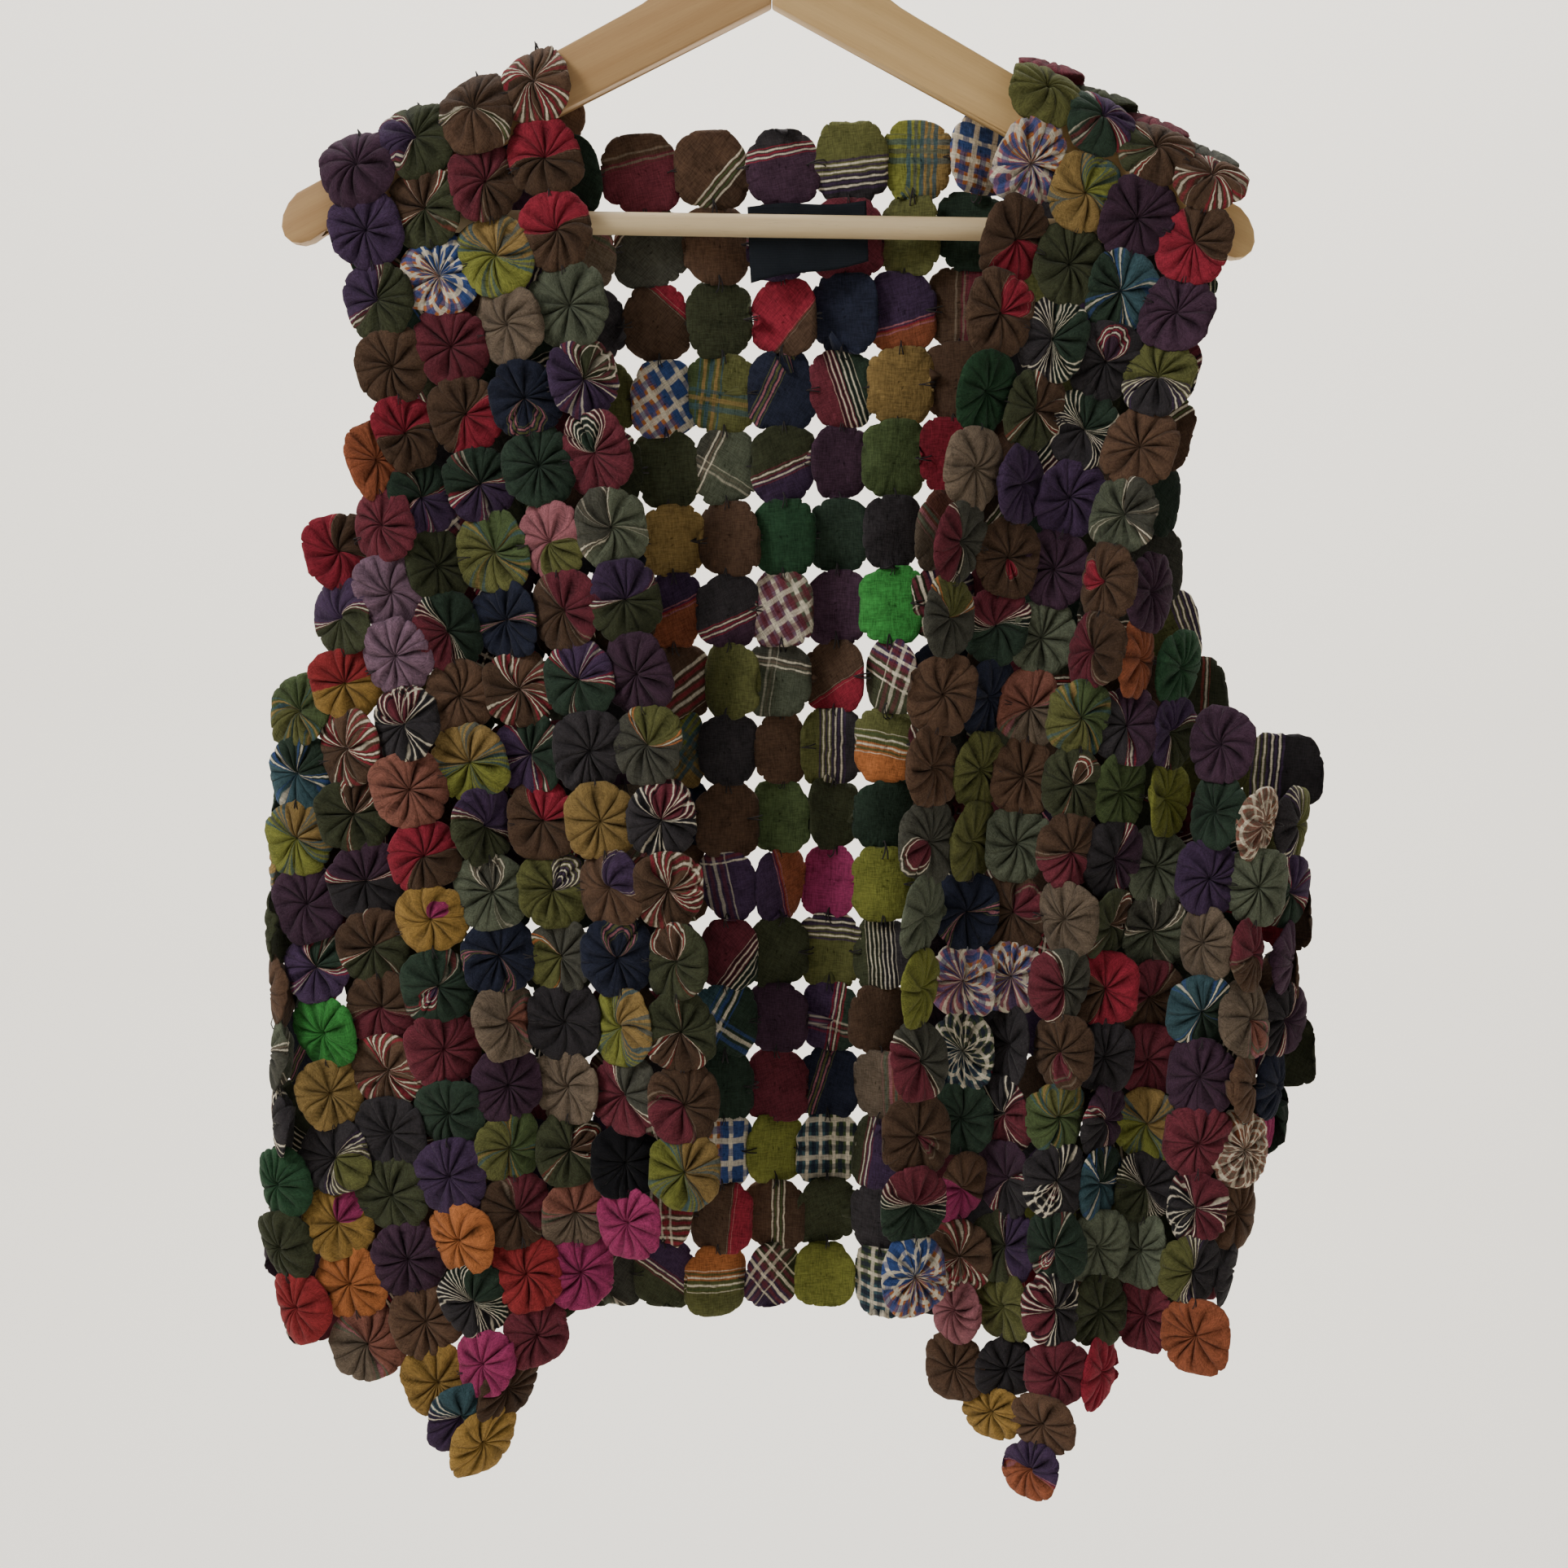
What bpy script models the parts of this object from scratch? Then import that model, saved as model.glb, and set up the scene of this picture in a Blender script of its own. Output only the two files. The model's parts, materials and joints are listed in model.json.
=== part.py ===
"""A sleeveless vest of gathered cloth rosettes, hanging open on a wooden clothes hanger.

Each rosette is a circle of cotton whose edge is gathered to its middle, so that it
closes to a double disc: pleated on the outside, flat on the inside. The discs are tied
edge to edge, above, below and on both sides, and four of them leave a diamond opening.
The maker sews them into strips that run from hem to shoulder and then joins the strips.
So each strip is one solid: a wall that is broad across the middle of each rosette and
narrow at each tie. The strips stay 0.3 mm or more apart along their seams.

The frame is the hanger's: the origin is the inner top of the hook, where a rail holds
it, +Z is up, and the open front faces -Y. Lengths are in millimetres until a mesh is
made. Right and left are the wearer's, so the right front is on the -X side.
"""

import math

import bmesh
import bpy
from mathutils import Vector

MM = 0.001

# Cloth.
WALL = 3.0  # thickness of a gathered rosette, flattened by its neighbours
SEAM = 0.5  # gap between two strips at a tie
TIE = 0.42  # share of a rosette's width that is drawn together at a tie
SPREAD = 0.8  # share of its width where a rosette bends over the hanger
OVER_ARM = 4.6  # height of a shoulder's tie above the hanger
BEND_OUT, BEND_UP = 9.6, 0.6  # where the wall turns down, out from the hanger and above it
BEND_SLANT = (0.75, 0.66)  # the way the wall faces there, outwards and up

# Hanger.
APEX = -105.0  # underside of the arms where they meet
ARM_SLOPE = 0.505  # drop of an arm for each millimetre outwards
ARM_HEIGHT = 28.0  # upright height of an arm
ARM_THICK = 13.0
ARM_EDGE = 3.2  # rounding of an arm's long edges
TIP_CENTRE = 207.0  # from the middle of the hanger to the centre of a rounded tip
TIP_RADIUS = 12.5
FLARE_START, FLARE_RADIUS = 66.0, 92.0  # where an arm starts to rise into the neck
NECK_TOP = -57.0
JOINT_GAP = 0.15  # half the gap where the two arms meet
BAR_HEIGHT, BAR_DIAMETER, BAR_HALF = -201.5, 10.5, 212.0
WIRE, HOOK_INSIDE = 3.8, 19.0  # hook wire, and the radius of the rail space inside it
HOOK_FOOT = -84.0
HOOK_NECK = ((0, -66.0), (0, -53.0), (1.2, -47.5), (4.6, -42.8))  # x and z up to the bend
HOOK_START, HOOK_TURN, HOOK_STEPS = -55, 256, 16  # the bend, in degrees from +X
HOOK_END = (2.6, 4.2)  # how far the open end runs on, outwards and down
FIT = 0.3  # clearance of the bar and the hook in their bores

# Fronts. First and last name the rows of each strip, counted down from the shoulder.
ON_SHOULDER = 4  # strips of a front that reach the shoulder
FOLD = 20.0  # radius of the side fold
TAPER_ROW = 12  # below this row a side may draw in towards the hem
RIGHT_FRONT = {
    "name": "right_front_strip",
    "side": -1,
    "first": (0, 0, 0, 0, 4, 5, 7, 8),
    "last": (15, 16, 17, 20, 19, 18, 17, 16),
    "edge": (105.0, 32.0, 15.0, 1.2),  # edge at shoulder and hem, rows between, power
    "pitch": (26.5, 27.0),
    "reach": (224.0, 0.0),  # from the middle to the side fold, and its loss for each row
    "top": -142.0,
    "drop": (32.7, 1.03),  # row height at the opening, and its loss for each strip
    "sag": 12.5,  # drop of each strip under the armhole
    "armhole": 14.0,  # how far the armhole's edge is drawn in at its top
    "hem": (15, 0.13, 1.4, 18, 17.0),  # low row, lost height, lean, row of the tip, swing
    "ripple": (2.0, 6.5, 3.6, 0.5),  # depth at the shoulder and below, period, phase
}
LEFT_FRONT = {
    "name": "left_front_strip",
    "side": 1,
    "first": (0, 0, 0, 0, 6, 7, 8, 9, 9),
    "last": (16, 18, 19, 20, 18, 17, 17, 16, 16),
    "edge": (123.0, 74.0, 12.0, 1.0),
    "pitch": (25.0, 21.5),
    "reach": (250.0, 6.5),
    "top": -141.0,
    "drop": (33.6, 1.1),
    "sag": 4.0,
    "armhole": 3.0,
    "hem": (16, 0.25, -0.3, 18, -6.0),
    "ripple": (2.0, 11.0, 3.3, 1.2),
}
SHOULDER_STEP = 12.3  # drop of the shoulder from one strip to the next
FRONT_DEPTH = (12.0, 25.0)  # how far a front lies before the hanger, at top and hem

# Back.
BACK_STRIPS, BACK_LAST = 17, 18
BACK_MIDDLE, BACK_CENTRE = 22.0, 8.5  # where its middle hangs, and which strip that is
NECK_STRIPS, NECK_FIRST = range(6, 12), 2
SIDE_FIRST = {0: 10, 1: 9, 16: 10}  # first rows of the strips under the armholes
INNER = 3.5  # strips from the middle to the shoulder's inner strip
BACK_PITCH = (24.5, 8.0, 12.5, 10.5, 2.5)  # least pitch, its growth away from one row
BACK_DRAWN = 2.5  # how much closer the left half's strips are at the neck
BACK_UPPER = {-1: 28.0, 1: 23.0}  # pitch of the outer strips above the armholes' end
BACK_TOP, BACK_DROP, BACK_LOSS = -103.0, 34.6, 0.09  # row 0, row height, loss with each row
BACK_LEAN = 2.4  # how much each strip of the middle lies above its neighbour towards +X
BACK_STEP, BACK_LEAST_STEP, LEVEL_ROW = 13.0, 2.5, 12  # the shoulder's steps, until a row
BACK_SAG = 4.0  # drop of each strip under the armhole
BACK_DEPTH = (13.0, 19.0)
BACK_RIPPLE, BACK_PERIOD = 7.0, 3.1
SIDE_DEPTH = 4.0  # how far a side of the back lies behind the front's last strip
SIDE_OFFSET = 2  # a front's row meets the back's row this much further down at a side

# Label at the neck of the back, on its inside.
LABEL_SIZE, LABEL_MIDDLE, LABEL_THICK = (54.0, 27.0), (18.0, -204.5), 1.0
LABEL_DEPTH = 8.0


def smooth(t):
    """0 to 1 with level ends."""
    t = min(1.0, max(0.0, t))
    return t * t * (3 - 2 * t)


def arm_top(x):
    return APEX + ARM_HEIGHT - ARM_SLOPE * abs(x)


def front_spot(front, column, row):
    """The middle of a front's rosette. Strips lie level, then turn round the side fold."""
    top_edge, low_edge, rows, power = front["edge"]
    inwards = math.sin(math.pi / 2 * min(1.0, row / rows) ** power)
    edge = top_edge + (low_edge - top_edge) * inwards
    pitch = front["pitch"][0] + (front["pitch"][1] - front["pitch"][0]) * smooth(row / 8)
    depth = FRONT_DEPTH[0] + (FRONT_DEPTH[1] - FRONT_DEPTH[0]) * smooth(row / 13)
    shallow, deep, period, phase = front["ripple"]
    ripple = (shallow + (deep - shallow) * smooth(row / 7)) * math.sin(
        2 * math.pi * column / period + phase + 0.05 * row
    )
    along = pitch * column
    reach, taper = front["reach"]
    straight = reach - taper * max(0, row - TAPER_ROW) - edge - FOLD
    turn = max(0.0, along - straight) / FOLD
    x = edge + min(along, straight) + FOLD * math.sin(turn)
    beyond = min(column, ON_SHOULDER + 1) - ON_SHOULDER + 1
    x -= front["armhole"] * max(0, beyond) ** 0.6 * max(0.0, 9 - row) / 5
    low_row, shrink, lean, tip_row, swing = front["hem"]
    x -= lean * min(column, 5) * max(0, row - low_row)
    x += swing * max(0, row - tip_row)
    y = -depth + FOLD * (1 - math.cos(turn)) - ripple * max(0.0, math.cos(turn))
    inside = min(column, ON_SHOULDER - 1)
    height, loss = front["drop"]
    lost = max(0, row - low_row) * max(0.0, 1 - column / 3) + max(0, row - tip_row)
    rows_down = row - shrink * lost
    z = front["top"] - SHOULDER_STEP * inside - (height - loss * inside) * rows_down
    z -= front["sag"] * max(0, column - ON_SHOULDER + 1)
    return Vector((front["side"] * x, y, z))


def back_spot(column, row):
    """The middle of a rosette of the back, which hangs behind the hanger."""
    offset = column - BACK_CENTRE
    side = math.copysign(1, offset)
    least, growth, narrow_row, spread, power = BACK_PITCH
    pitch = least + growth * abs((row - narrow_row) / spread) ** power
    if side > 0:
        pitch -= BACK_DRAWN * smooth((10 - row) / 8)
    inner = BACK_MIDDLE + side * pitch * min(abs(offset), INNER)
    outer = max(0.0, abs(offset) - INNER)
    front = LEFT_FRONT if side > 0 else RIGHT_FRONT
    last = BACK_STRIPS - 1 if side > 0 else 0
    meets = front_spot(front, len(front["first"]), max(row - SIDE_OFFSET, 0))
    steps = abs(last - BACK_CENTRE) - INNER
    wide = (meets.x - inner) / steps
    upper = side * BACK_UPPER[side]
    blend = smooth((row - 6) / 4)
    x = inner + outer * (upper + (wide - upper) * blend)
    shoulder = front_spot(front, min(outer, ON_SHOULDER - 1), 0)
    if outer or abs(offset) == INNER:
        x += (shoulder.x - x) * math.exp(-(row - 0.5) / 0.9)
    depth = BACK_DEPTH[0] + (BACK_DEPTH[1] - BACK_DEPTH[0]) * smooth(row / 9)
    ripple = BACK_RIPPLE * smooth((row - 3) / 6)
    y = depth + ripple * math.sin(2 * math.pi * offset / BACK_PERIOD + 0.08 * row)
    y += (meets.y + SIDE_DEPTH - y) * blend * smooth((outer - steps + 2) / 2)
    z = BACK_TOP - BACK_DROP * row + BACK_LOSS * row * row
    z += BACK_LEAN * (side * min(abs(offset), INNER)) * (1 - row / BACK_LAST)
    steep = max(BACK_LEAST_STEP, BACK_STEP * (1 - row / LEVEL_ROW))
    z -= min(outer, ON_SHOULDER - 1) * steep
    z -= BACK_SAG * max(0.0, outer - ON_SHOULDER + 1)
    return Vector((x, y, z))


def plan():
    """Every rosette by (panel, strip, row), with the middle of each."""
    spots = {}
    for panel in (RIGHT_FRONT, LEFT_FRONT):
        for column, rows in enumerate(zip(panel["first"], panel["last"])):
            for row in range(rows[0], rows[1] + 1):
                spots[panel["name"], column, row] = front_spot(panel, column, row)
    for column in range(BACK_STRIPS):
        first = SIDE_FIRST.get(column, NECK_FIRST if column in NECK_STRIPS else 1)
        for row in range(first, BACK_LAST + 1):
            spots["back_strip", column, row] = back_spot(column, row)
    return spots


SPOTS = plan()


def beside(key, step):
    """The rosette that is tied to this one, a strip towards +X or -X, or None."""
    panel, column, row = key
    if panel == "back_strip":
        if column + step < 0:
            found = (RIGHT_FRONT["name"], len(RIGHT_FRONT["first"]) - 1, row - SIDE_OFFSET)
        elif column + step == BACK_STRIPS:
            found = (LEFT_FRONT["name"], len(LEFT_FRONT["first"]) - 1, row - SIDE_OFFSET)
        else:
            found = (panel, column + step, row)
        return found if found in SPOTS else None
    front = LEFT_FRONT if panel == LEFT_FRONT["name"] else RIGHT_FRONT
    outwards = step * front["side"]
    found = (panel, column + outwards, row)
    if outwards > 0 and column == len(front["first"]) - 1:
        found = ("back_strip", BACK_STRIPS - 1 if front["side"] > 0 else 0, row + SIDE_OFFSET)
    return found if found in SPOTS else None


def ridge(key):
    """The tie on top of the hanger for a shoulder's highest rosette, or None."""
    panel, column, row = key
    if panel == "back_strip":
        outer = abs(column - BACK_CENTRE) - INNER
        if row != 1 or not 0 <= outer < ON_SHOULDER:
            return None
        front = LEFT_FRONT if column > BACK_CENTRE else RIGHT_FRONT
        column = outer
    elif row != 0:
        return None
    else:
        front = LEFT_FRONT if panel == LEFT_FRONT["name"] else RIGHT_FRONT
    x = front_spot(front, column, 0).x
    return Vector((x, 0.0, arm_top(x) + OVER_ARM))


def ties(key):
    """The four tied points of a rosette: towards +X, towards -X, above and below."""
    middle = SPOTS[key]
    panel, column, row = key
    found = []
    upper, lower = (panel, column, row - 1), (panel, column, row + 1)
    for other in (beside(key, 1), beside(key, -1), upper, lower):
        found.append((middle + SPOTS[other]) / 2 if other in SPOTS else None)
    found[2] = ridge(key) or found[2]
    for one, across in ((0, 1), (1, 0), (2, 3), (3, 2)):
        if found[one] is None and found[across] is not None:
            found[one] = 2 * middle - found[across]
    if found[0] is None:  # a rosette that hangs alone below its neighbours
        above = ties((panel, column, row - 1))
        half = (above[0] - above[1]) / 2
        found[0], found[1] = middle + half, middle - half
    return found


def facing(key):
    """The way a rosette's gathered side faces, at right angles to its two tie lines."""
    east, west, above, below = ties(key)
    out = (below - above).cross(east - west).normalized()
    return -out if key[0] == "back_strip" else out


def side_tie(key, step):
    """The tied point on one side, a little short of the seam, and the way it faces."""
    east, west = ties(key)[:2]
    across = (east - west).normalized() * step
    point = (east if step > 0 else west) - across * SEAM / 2
    other = beside(key, step)
    out = facing(key) + (facing(other) if other else facing(key))
    return point, out.normalized()


def section(left, right, left_out, right_out):
    """Four corners of the wall across a strip."""
    half = WALL / 2
    return [
        left + left_out * half,
        right + right_out * half,
        right - right_out * half,
        left - left_out * half,
    ]


def tie_section(point, keys):
    """The narrow section at a tie between the rosettes of one strip."""
    across, out = Vector(), Vector()
    for key in keys:
        east, west = ties(key)[:2]
        across += east - west
        out += facing(key)
    half = across / len(keys) * TIE / 2
    out.normalize()
    return section(point - half, point + half, out, out)


def ridge_sections(key, top):
    """Two sections that carry a strip's end over the top of the hanger."""
    east, west = ties(key)[:2]
    front = -1 if key[0] != "back_strip" else 1
    half = (east - west) / 2
    half.y = 0.0
    end = top + Vector((0, front * SEAM / 2, 0))
    bend = Vector((top.x, front * BEND_OUT, arm_top(top.x) + BEND_UP))
    up, slant = Vector((0, 0, 1)), Vector((0, front * BEND_SLANT[0], BEND_SLANT[1]))
    return [
        section(end - half * TIE, end + half * TIE, up, up),
        section(bend - half * SPREAD, bend + half * SPREAD, slant, slant),
    ]


def strip_sections(panel, column):
    """The strip's sections from its highest rosette to its hem."""
    keys = sorted(key for key in SPOTS if key[:2] == (panel, column))
    sections = []
    for before, key in zip([None, *keys], keys):
        top, bottom = ties(key)[2:]
        if ridge(key):
            sections += ridge_sections(key, ridge(key))
        else:
            sections.append(tie_section(top, [key] + ([before] if before else [])))
        (right, right_out), (left, left_out) = side_tie(key, 1), side_tie(key, -1)
        sections.append(section(left, right, left_out, right_out))
    sections.append(tie_section(bottom, keys[-1:]))
    return sections


def loft(sections):
    """A closed solid through four-cornered sections."""
    bm = bmesh.new()
    rings = [[bm.verts.new(corner * MM) for corner in ring] for ring in sections]
    for upper, lower in zip(rings, rings[1:]):
        for i in range(4):
            j = (i + 1) % 4
            bm.faces.new((upper[i], lower[i], lower[j], upper[j]))
    bm.faces.new(rings[0])
    bm.faces.new(reversed(rings[-1]))
    bmesh.ops.recalc_face_normals(bm, faces=bm.faces)
    return bm


def material(name, colour, roughness, metallic=0.0):
    found = bpy.data.materials.new(name)
    found.use_nodes = True
    shader = found.node_tree.nodes["Principled BSDF"]
    shader.inputs["Base Color"].default_value = (*colour, 1.0)
    shader.inputs["Roughness"].default_value = roughness
    shader.inputs["Metallic"].default_value = metallic
    found.diffuse_color = (*colour, 1.0)
    return found


def add_object(name, mesh, finish, collection):
    if finish:
        mesh.materials.clear()
        mesh.materials.append(finish)
    ob = bpy.data.objects.new(name, mesh)
    collection.objects.link(ob)
    return ob


def add_strips(parent, collection):
    """One solid for each strip of the two fronts and the back."""
    tones = [
        material("cotton_moss", (0.075, 0.08, 0.05), 0.9),
        material("cotton_plum", (0.07, 0.035, 0.05), 0.9),
        material("cotton_brown", (0.09, 0.05, 0.035), 0.9),
    ]
    for panel, column in sorted({key[:2] for key in SPOTS}):
        name = f"{panel}_{column + 1:02d}"
        mesh = bpy.data.meshes.new(name)
        bm = loft(strip_sections(panel, column))
        bm.to_mesh(mesh)
        bm.free()
        ob = add_object(name, mesh, tones[column % len(tones)], collection)
        ob.parent = parent


def arm_outline():
    """The +X arm seen from the front, from the apex round the tip to the neck."""
    lean = math.atan(ARM_SLOPE)
    axis = APEX + ARM_HEIGHT / 2 - ARM_SLOPE * TIP_CENTRE
    points = [(JOINT_GAP, APEX - ARM_SLOPE * JOINT_GAP)]
    for step in range(9):
        angle = -math.pi / 2 - lean + math.pi * step / 8
        points.append(
            (TIP_CENTRE + TIP_RADIUS * math.cos(angle), axis + TIP_RADIUS * math.sin(angle))
        )
    for step in range(8):
        angle = lean + math.radians(6) * step
        points.append(
            (
                FLARE_START - FLARE_RADIUS * (math.sin(angle) - math.sin(lean)),
                arm_top(FLARE_START) + FLARE_RADIUS * (math.cos(lean) - math.cos(angle)),
            )
        )
    points += [(15.0, NECK_TOP - 2.2), (8.0, NECK_TOP), (JOINT_GAP, NECK_TOP)]
    return points


def add_curve(name, points, cyclic, collection):
    """A curve object of one POLY spline through points in millimetres."""
    curve = bpy.data.curves.new(name, "CURVE")
    spline = curve.splines.new("POLY")
    spline.points.add(len(points) - 1)
    for target, point in zip(spline.points, points):
        target.co = (*(value * MM for value in point), 1.0)
    spline.use_cyclic_u = cyclic
    ob = bpy.data.objects.new(name, curve)
    collection.objects.link(ob)
    return ob


def to_mesh_object(ob, finish, collection):
    """A mesh object in place of a curve, with its caps welded on."""
    bpy.context.view_layer.update()
    mesh = bpy.data.meshes.new_from_object(ob.evaluated_get(bpy.context.evaluated_depsgraph_get()))
    mesh.transform(ob.matrix_world)
    bm = bmesh.new()
    bm.from_mesh(mesh)
    bmesh.ops.remove_doubles(bm, verts=bm.verts, dist=0.00001)
    bmesh.ops.recalc_face_normals(bm, faces=bm.faces)
    bm.to_mesh(mesh)
    bm.free()
    name = ob.name
    bpy.data.objects.remove(ob)
    return add_object(name, mesh, finish, collection)


def add_cutter(name, radius, length, matrix_place, upright, collection):
    bpy.ops.mesh.primitive_cylinder_add(
        vertices=24,
        radius=radius * MM,
        depth=length * MM,
        location=[value * MM for value in matrix_place],
        rotation=(0, 0, 0) if upright else (0, math.pi / 2, 0),
    )
    ob = bpy.context.object
    ob.name = name
    ob.hide_render = True
    ob.display_type = "WIRE"
    for holder in ob.users_collection:
        holder.objects.unlink(ob)
    collection.objects.link(ob)
    return ob


def add_arm(side, finish, cutters, parent, collection):
    """One arm: its outline, given thickness, rounded, and bored for bar and hook."""
    name = "hanger_arm_left" if side > 0 else "hanger_arm_right"
    points = [(side * x, z, 0.0) for x, z in arm_outline()]
    ob = add_curve(name, points, True, collection)
    ob.data.dimensions = "2D"
    ob.data.fill_mode = "BOTH"
    ob.data.extrude = ARM_THICK / 2 * MM
    ob.rotation_euler = (math.pi / 2, 0, 0)
    ob = to_mesh_object(ob, finish, collection)
    bevel = ob.modifiers.new("round_edges", "BEVEL")
    bevel.width = ARM_EDGE * MM
    bevel.segments = 3
    bevel.limit_method = "ANGLE"
    bevel.angle_limit = math.radians(60)
    for cutter in cutters:
        cut = ob.modifiers.new("bore", "BOOLEAN")
        cut.operation = "DIFFERENCE"
        cut.object = cutter
    ob.parent = parent


def hook_route():
    """Up out of the neck, round the rail and down to an open end on the -X side."""
    radius = HOOK_INSIDE + WIRE / 2
    centre = -HOOK_INSIDE
    points = [(x, 0, z) for x, z in ((0, HOOK_FOOT), *HOOK_NECK)]
    for step in range(HOOK_STEPS + 1):
        angle = math.radians(HOOK_START + HOOK_TURN * step / HOOK_STEPS)
        points.append((radius * math.cos(angle), 0, centre + radius * math.sin(angle)))
    points.append((points[-1][0] - HOOK_END[0], 0, points[-1][2] - HOOK_END[1]))
    return points


def add_hanger(parent, collection, cutter_collection):
    """Two arms that meet in the middle, a round bar between their tips and a wire hook."""
    beech_dark = material("beech_dark", (0.56, 0.38, 0.22), 0.55)
    beech_pale = material("beech_pale", (0.68, 0.52, 0.32), 0.55)
    steel = material("zinc_steel", (0.72, 0.72, 0.72), 0.25, 1.0)
    bar_bore = add_cutter(
        "bar_bore", BAR_DIAMETER / 2 + FIT, 2 * (BAR_HALF + FIT), (0, 0, BAR_HEIGHT), False,
        cutter_collection,
    )
    bore_length = NECK_TOP - HOOK_FOOT + 20
    hook_bore = add_cutter(
        "hook_bore", WIRE / 2 + FIT, bore_length, (0, 0, HOOK_FOOT - FIT + bore_length / 2), True,
        cutter_collection,
    )
    for side, finish in ((-1, beech_dark), (1, beech_pale)):
        add_arm(side, finish, (bar_bore, hook_bore), parent, collection)
    bpy.ops.mesh.primitive_cylinder_add(
        vertices=24,
        radius=BAR_DIAMETER / 2 * MM,
        depth=2 * BAR_HALF * MM,
        location=(0, 0, BAR_HEIGHT * MM),
        rotation=(0, math.pi / 2, 0),
    )
    bar = bpy.context.object
    bar.name = "trouser_bar"
    bar.data.materials.append(beech_pale)
    for holder in bar.users_collection:
        holder.objects.unlink(bar)
    collection.objects.link(bar)
    bar.parent = parent
    hook = add_curve("wire_hook", hook_route(), False, collection)
    hook.data.dimensions = "3D"
    hook.data.bevel_depth = WIRE / 2 * MM
    hook.data.bevel_resolution = 2
    hook.data.use_fill_caps = True
    hook = to_mesh_object(hook, steel, collection)
    hook.parent = parent


def add_label(parent, collection):
    """A plain woven label, stitched to the inside of the back below the neck."""
    width, height = LABEL_SIZE
    bpy.ops.mesh.primitive_grid_add(x_subdivisions=4, y_subdivisions=2, size=1.0)
    ob = bpy.context.object
    ob.name = "neck_label"
    for vert in ob.data.vertices:
        across, up = vert.co.x, vert.co.y
        vert.co = Vector(
            (
                LABEL_MIDDLE[0] + across * width,
                LABEL_DEPTH + 0.8 * math.sin(across * 5) * (0.6 - up),
                LABEL_MIDDLE[1] + up * height,
            )
        ) * MM
    thicken = ob.modifiers.new("woven_thickness", "SOLIDIFY")
    thicken.thickness = LABEL_THICK * MM
    thicken.offset = 0
    ob.data.materials.append(material("label_black", (0.012, 0.014, 0.02), 0.8))
    for holder in ob.users_collection:
        holder.objects.unlink(ob)
    collection.objects.link(ob)
    ob.parent = parent


def main():
    for ob in list(bpy.data.objects):
        bpy.data.objects.remove(ob)
    collection = bpy.data.collections.new("rosette_vest_on_hanger")
    cutters = bpy.data.collections.new("cutters")
    for made in (collection, cutters):
        bpy.context.scene.collection.children.link(made)
    parent = bpy.data.objects.new("hook_point", None)
    collection.objects.link(parent)
    add_hanger(parent, collection, cutters)
    add_strips(parent, collection)
    add_label(parent, collection)


main()
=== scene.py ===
# %% [markdown]
# # A vest of gathered cloth rosettes on a wooden hanger
#
# The vest has no panels of plain cloth. It is some five hundred rosettes: circles of
# cotton, each gathered to its middle, tied edge to edge and hung on a flat hanger.
# This lesson loads the plain solids, works out where every rosette sits, gathers a few
# sample rosettes, lays them out with Geometry Nodes and prints the striped cotton on them.

# %% Load the frame
import json
import math

import bmesh
import bpy
import numpy as np
from mathutils import Matrix, Vector

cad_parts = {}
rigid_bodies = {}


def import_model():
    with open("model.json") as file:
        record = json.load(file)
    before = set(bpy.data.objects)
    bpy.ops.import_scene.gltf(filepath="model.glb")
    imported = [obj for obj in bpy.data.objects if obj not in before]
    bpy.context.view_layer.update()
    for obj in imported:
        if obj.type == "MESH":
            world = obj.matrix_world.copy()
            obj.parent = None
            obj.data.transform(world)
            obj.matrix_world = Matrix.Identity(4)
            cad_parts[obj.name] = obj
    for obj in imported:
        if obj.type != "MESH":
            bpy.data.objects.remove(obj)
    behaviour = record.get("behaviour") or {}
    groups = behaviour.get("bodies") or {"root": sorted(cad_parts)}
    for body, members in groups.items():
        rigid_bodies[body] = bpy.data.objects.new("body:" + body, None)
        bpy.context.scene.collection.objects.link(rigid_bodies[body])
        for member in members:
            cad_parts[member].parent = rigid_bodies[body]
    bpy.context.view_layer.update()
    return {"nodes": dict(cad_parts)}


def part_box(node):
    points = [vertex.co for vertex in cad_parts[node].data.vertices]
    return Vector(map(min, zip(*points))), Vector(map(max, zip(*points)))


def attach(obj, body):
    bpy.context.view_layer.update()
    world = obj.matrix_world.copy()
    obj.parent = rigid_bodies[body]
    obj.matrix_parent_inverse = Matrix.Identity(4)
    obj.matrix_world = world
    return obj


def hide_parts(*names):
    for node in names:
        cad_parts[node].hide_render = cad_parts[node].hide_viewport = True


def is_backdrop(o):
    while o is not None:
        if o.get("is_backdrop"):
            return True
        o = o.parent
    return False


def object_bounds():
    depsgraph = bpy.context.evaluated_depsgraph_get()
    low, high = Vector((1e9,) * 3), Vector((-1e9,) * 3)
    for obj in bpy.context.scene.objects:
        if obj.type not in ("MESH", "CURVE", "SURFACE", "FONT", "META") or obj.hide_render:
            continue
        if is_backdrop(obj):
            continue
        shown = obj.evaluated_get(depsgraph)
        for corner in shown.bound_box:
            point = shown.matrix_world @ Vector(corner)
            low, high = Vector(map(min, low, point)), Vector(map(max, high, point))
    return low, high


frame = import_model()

MM = 0.001

# %% [markdown]
# ## One class for node sockets
#
# A node tree is easier to read as arithmetic. `Wire` holds a socket, and `+ - * /` on it
# add a Math node, or a Vector Math node when a vector takes part. Any other node comes
# from `Tree.add`, which sets the node's options first and then its sockets.

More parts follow.
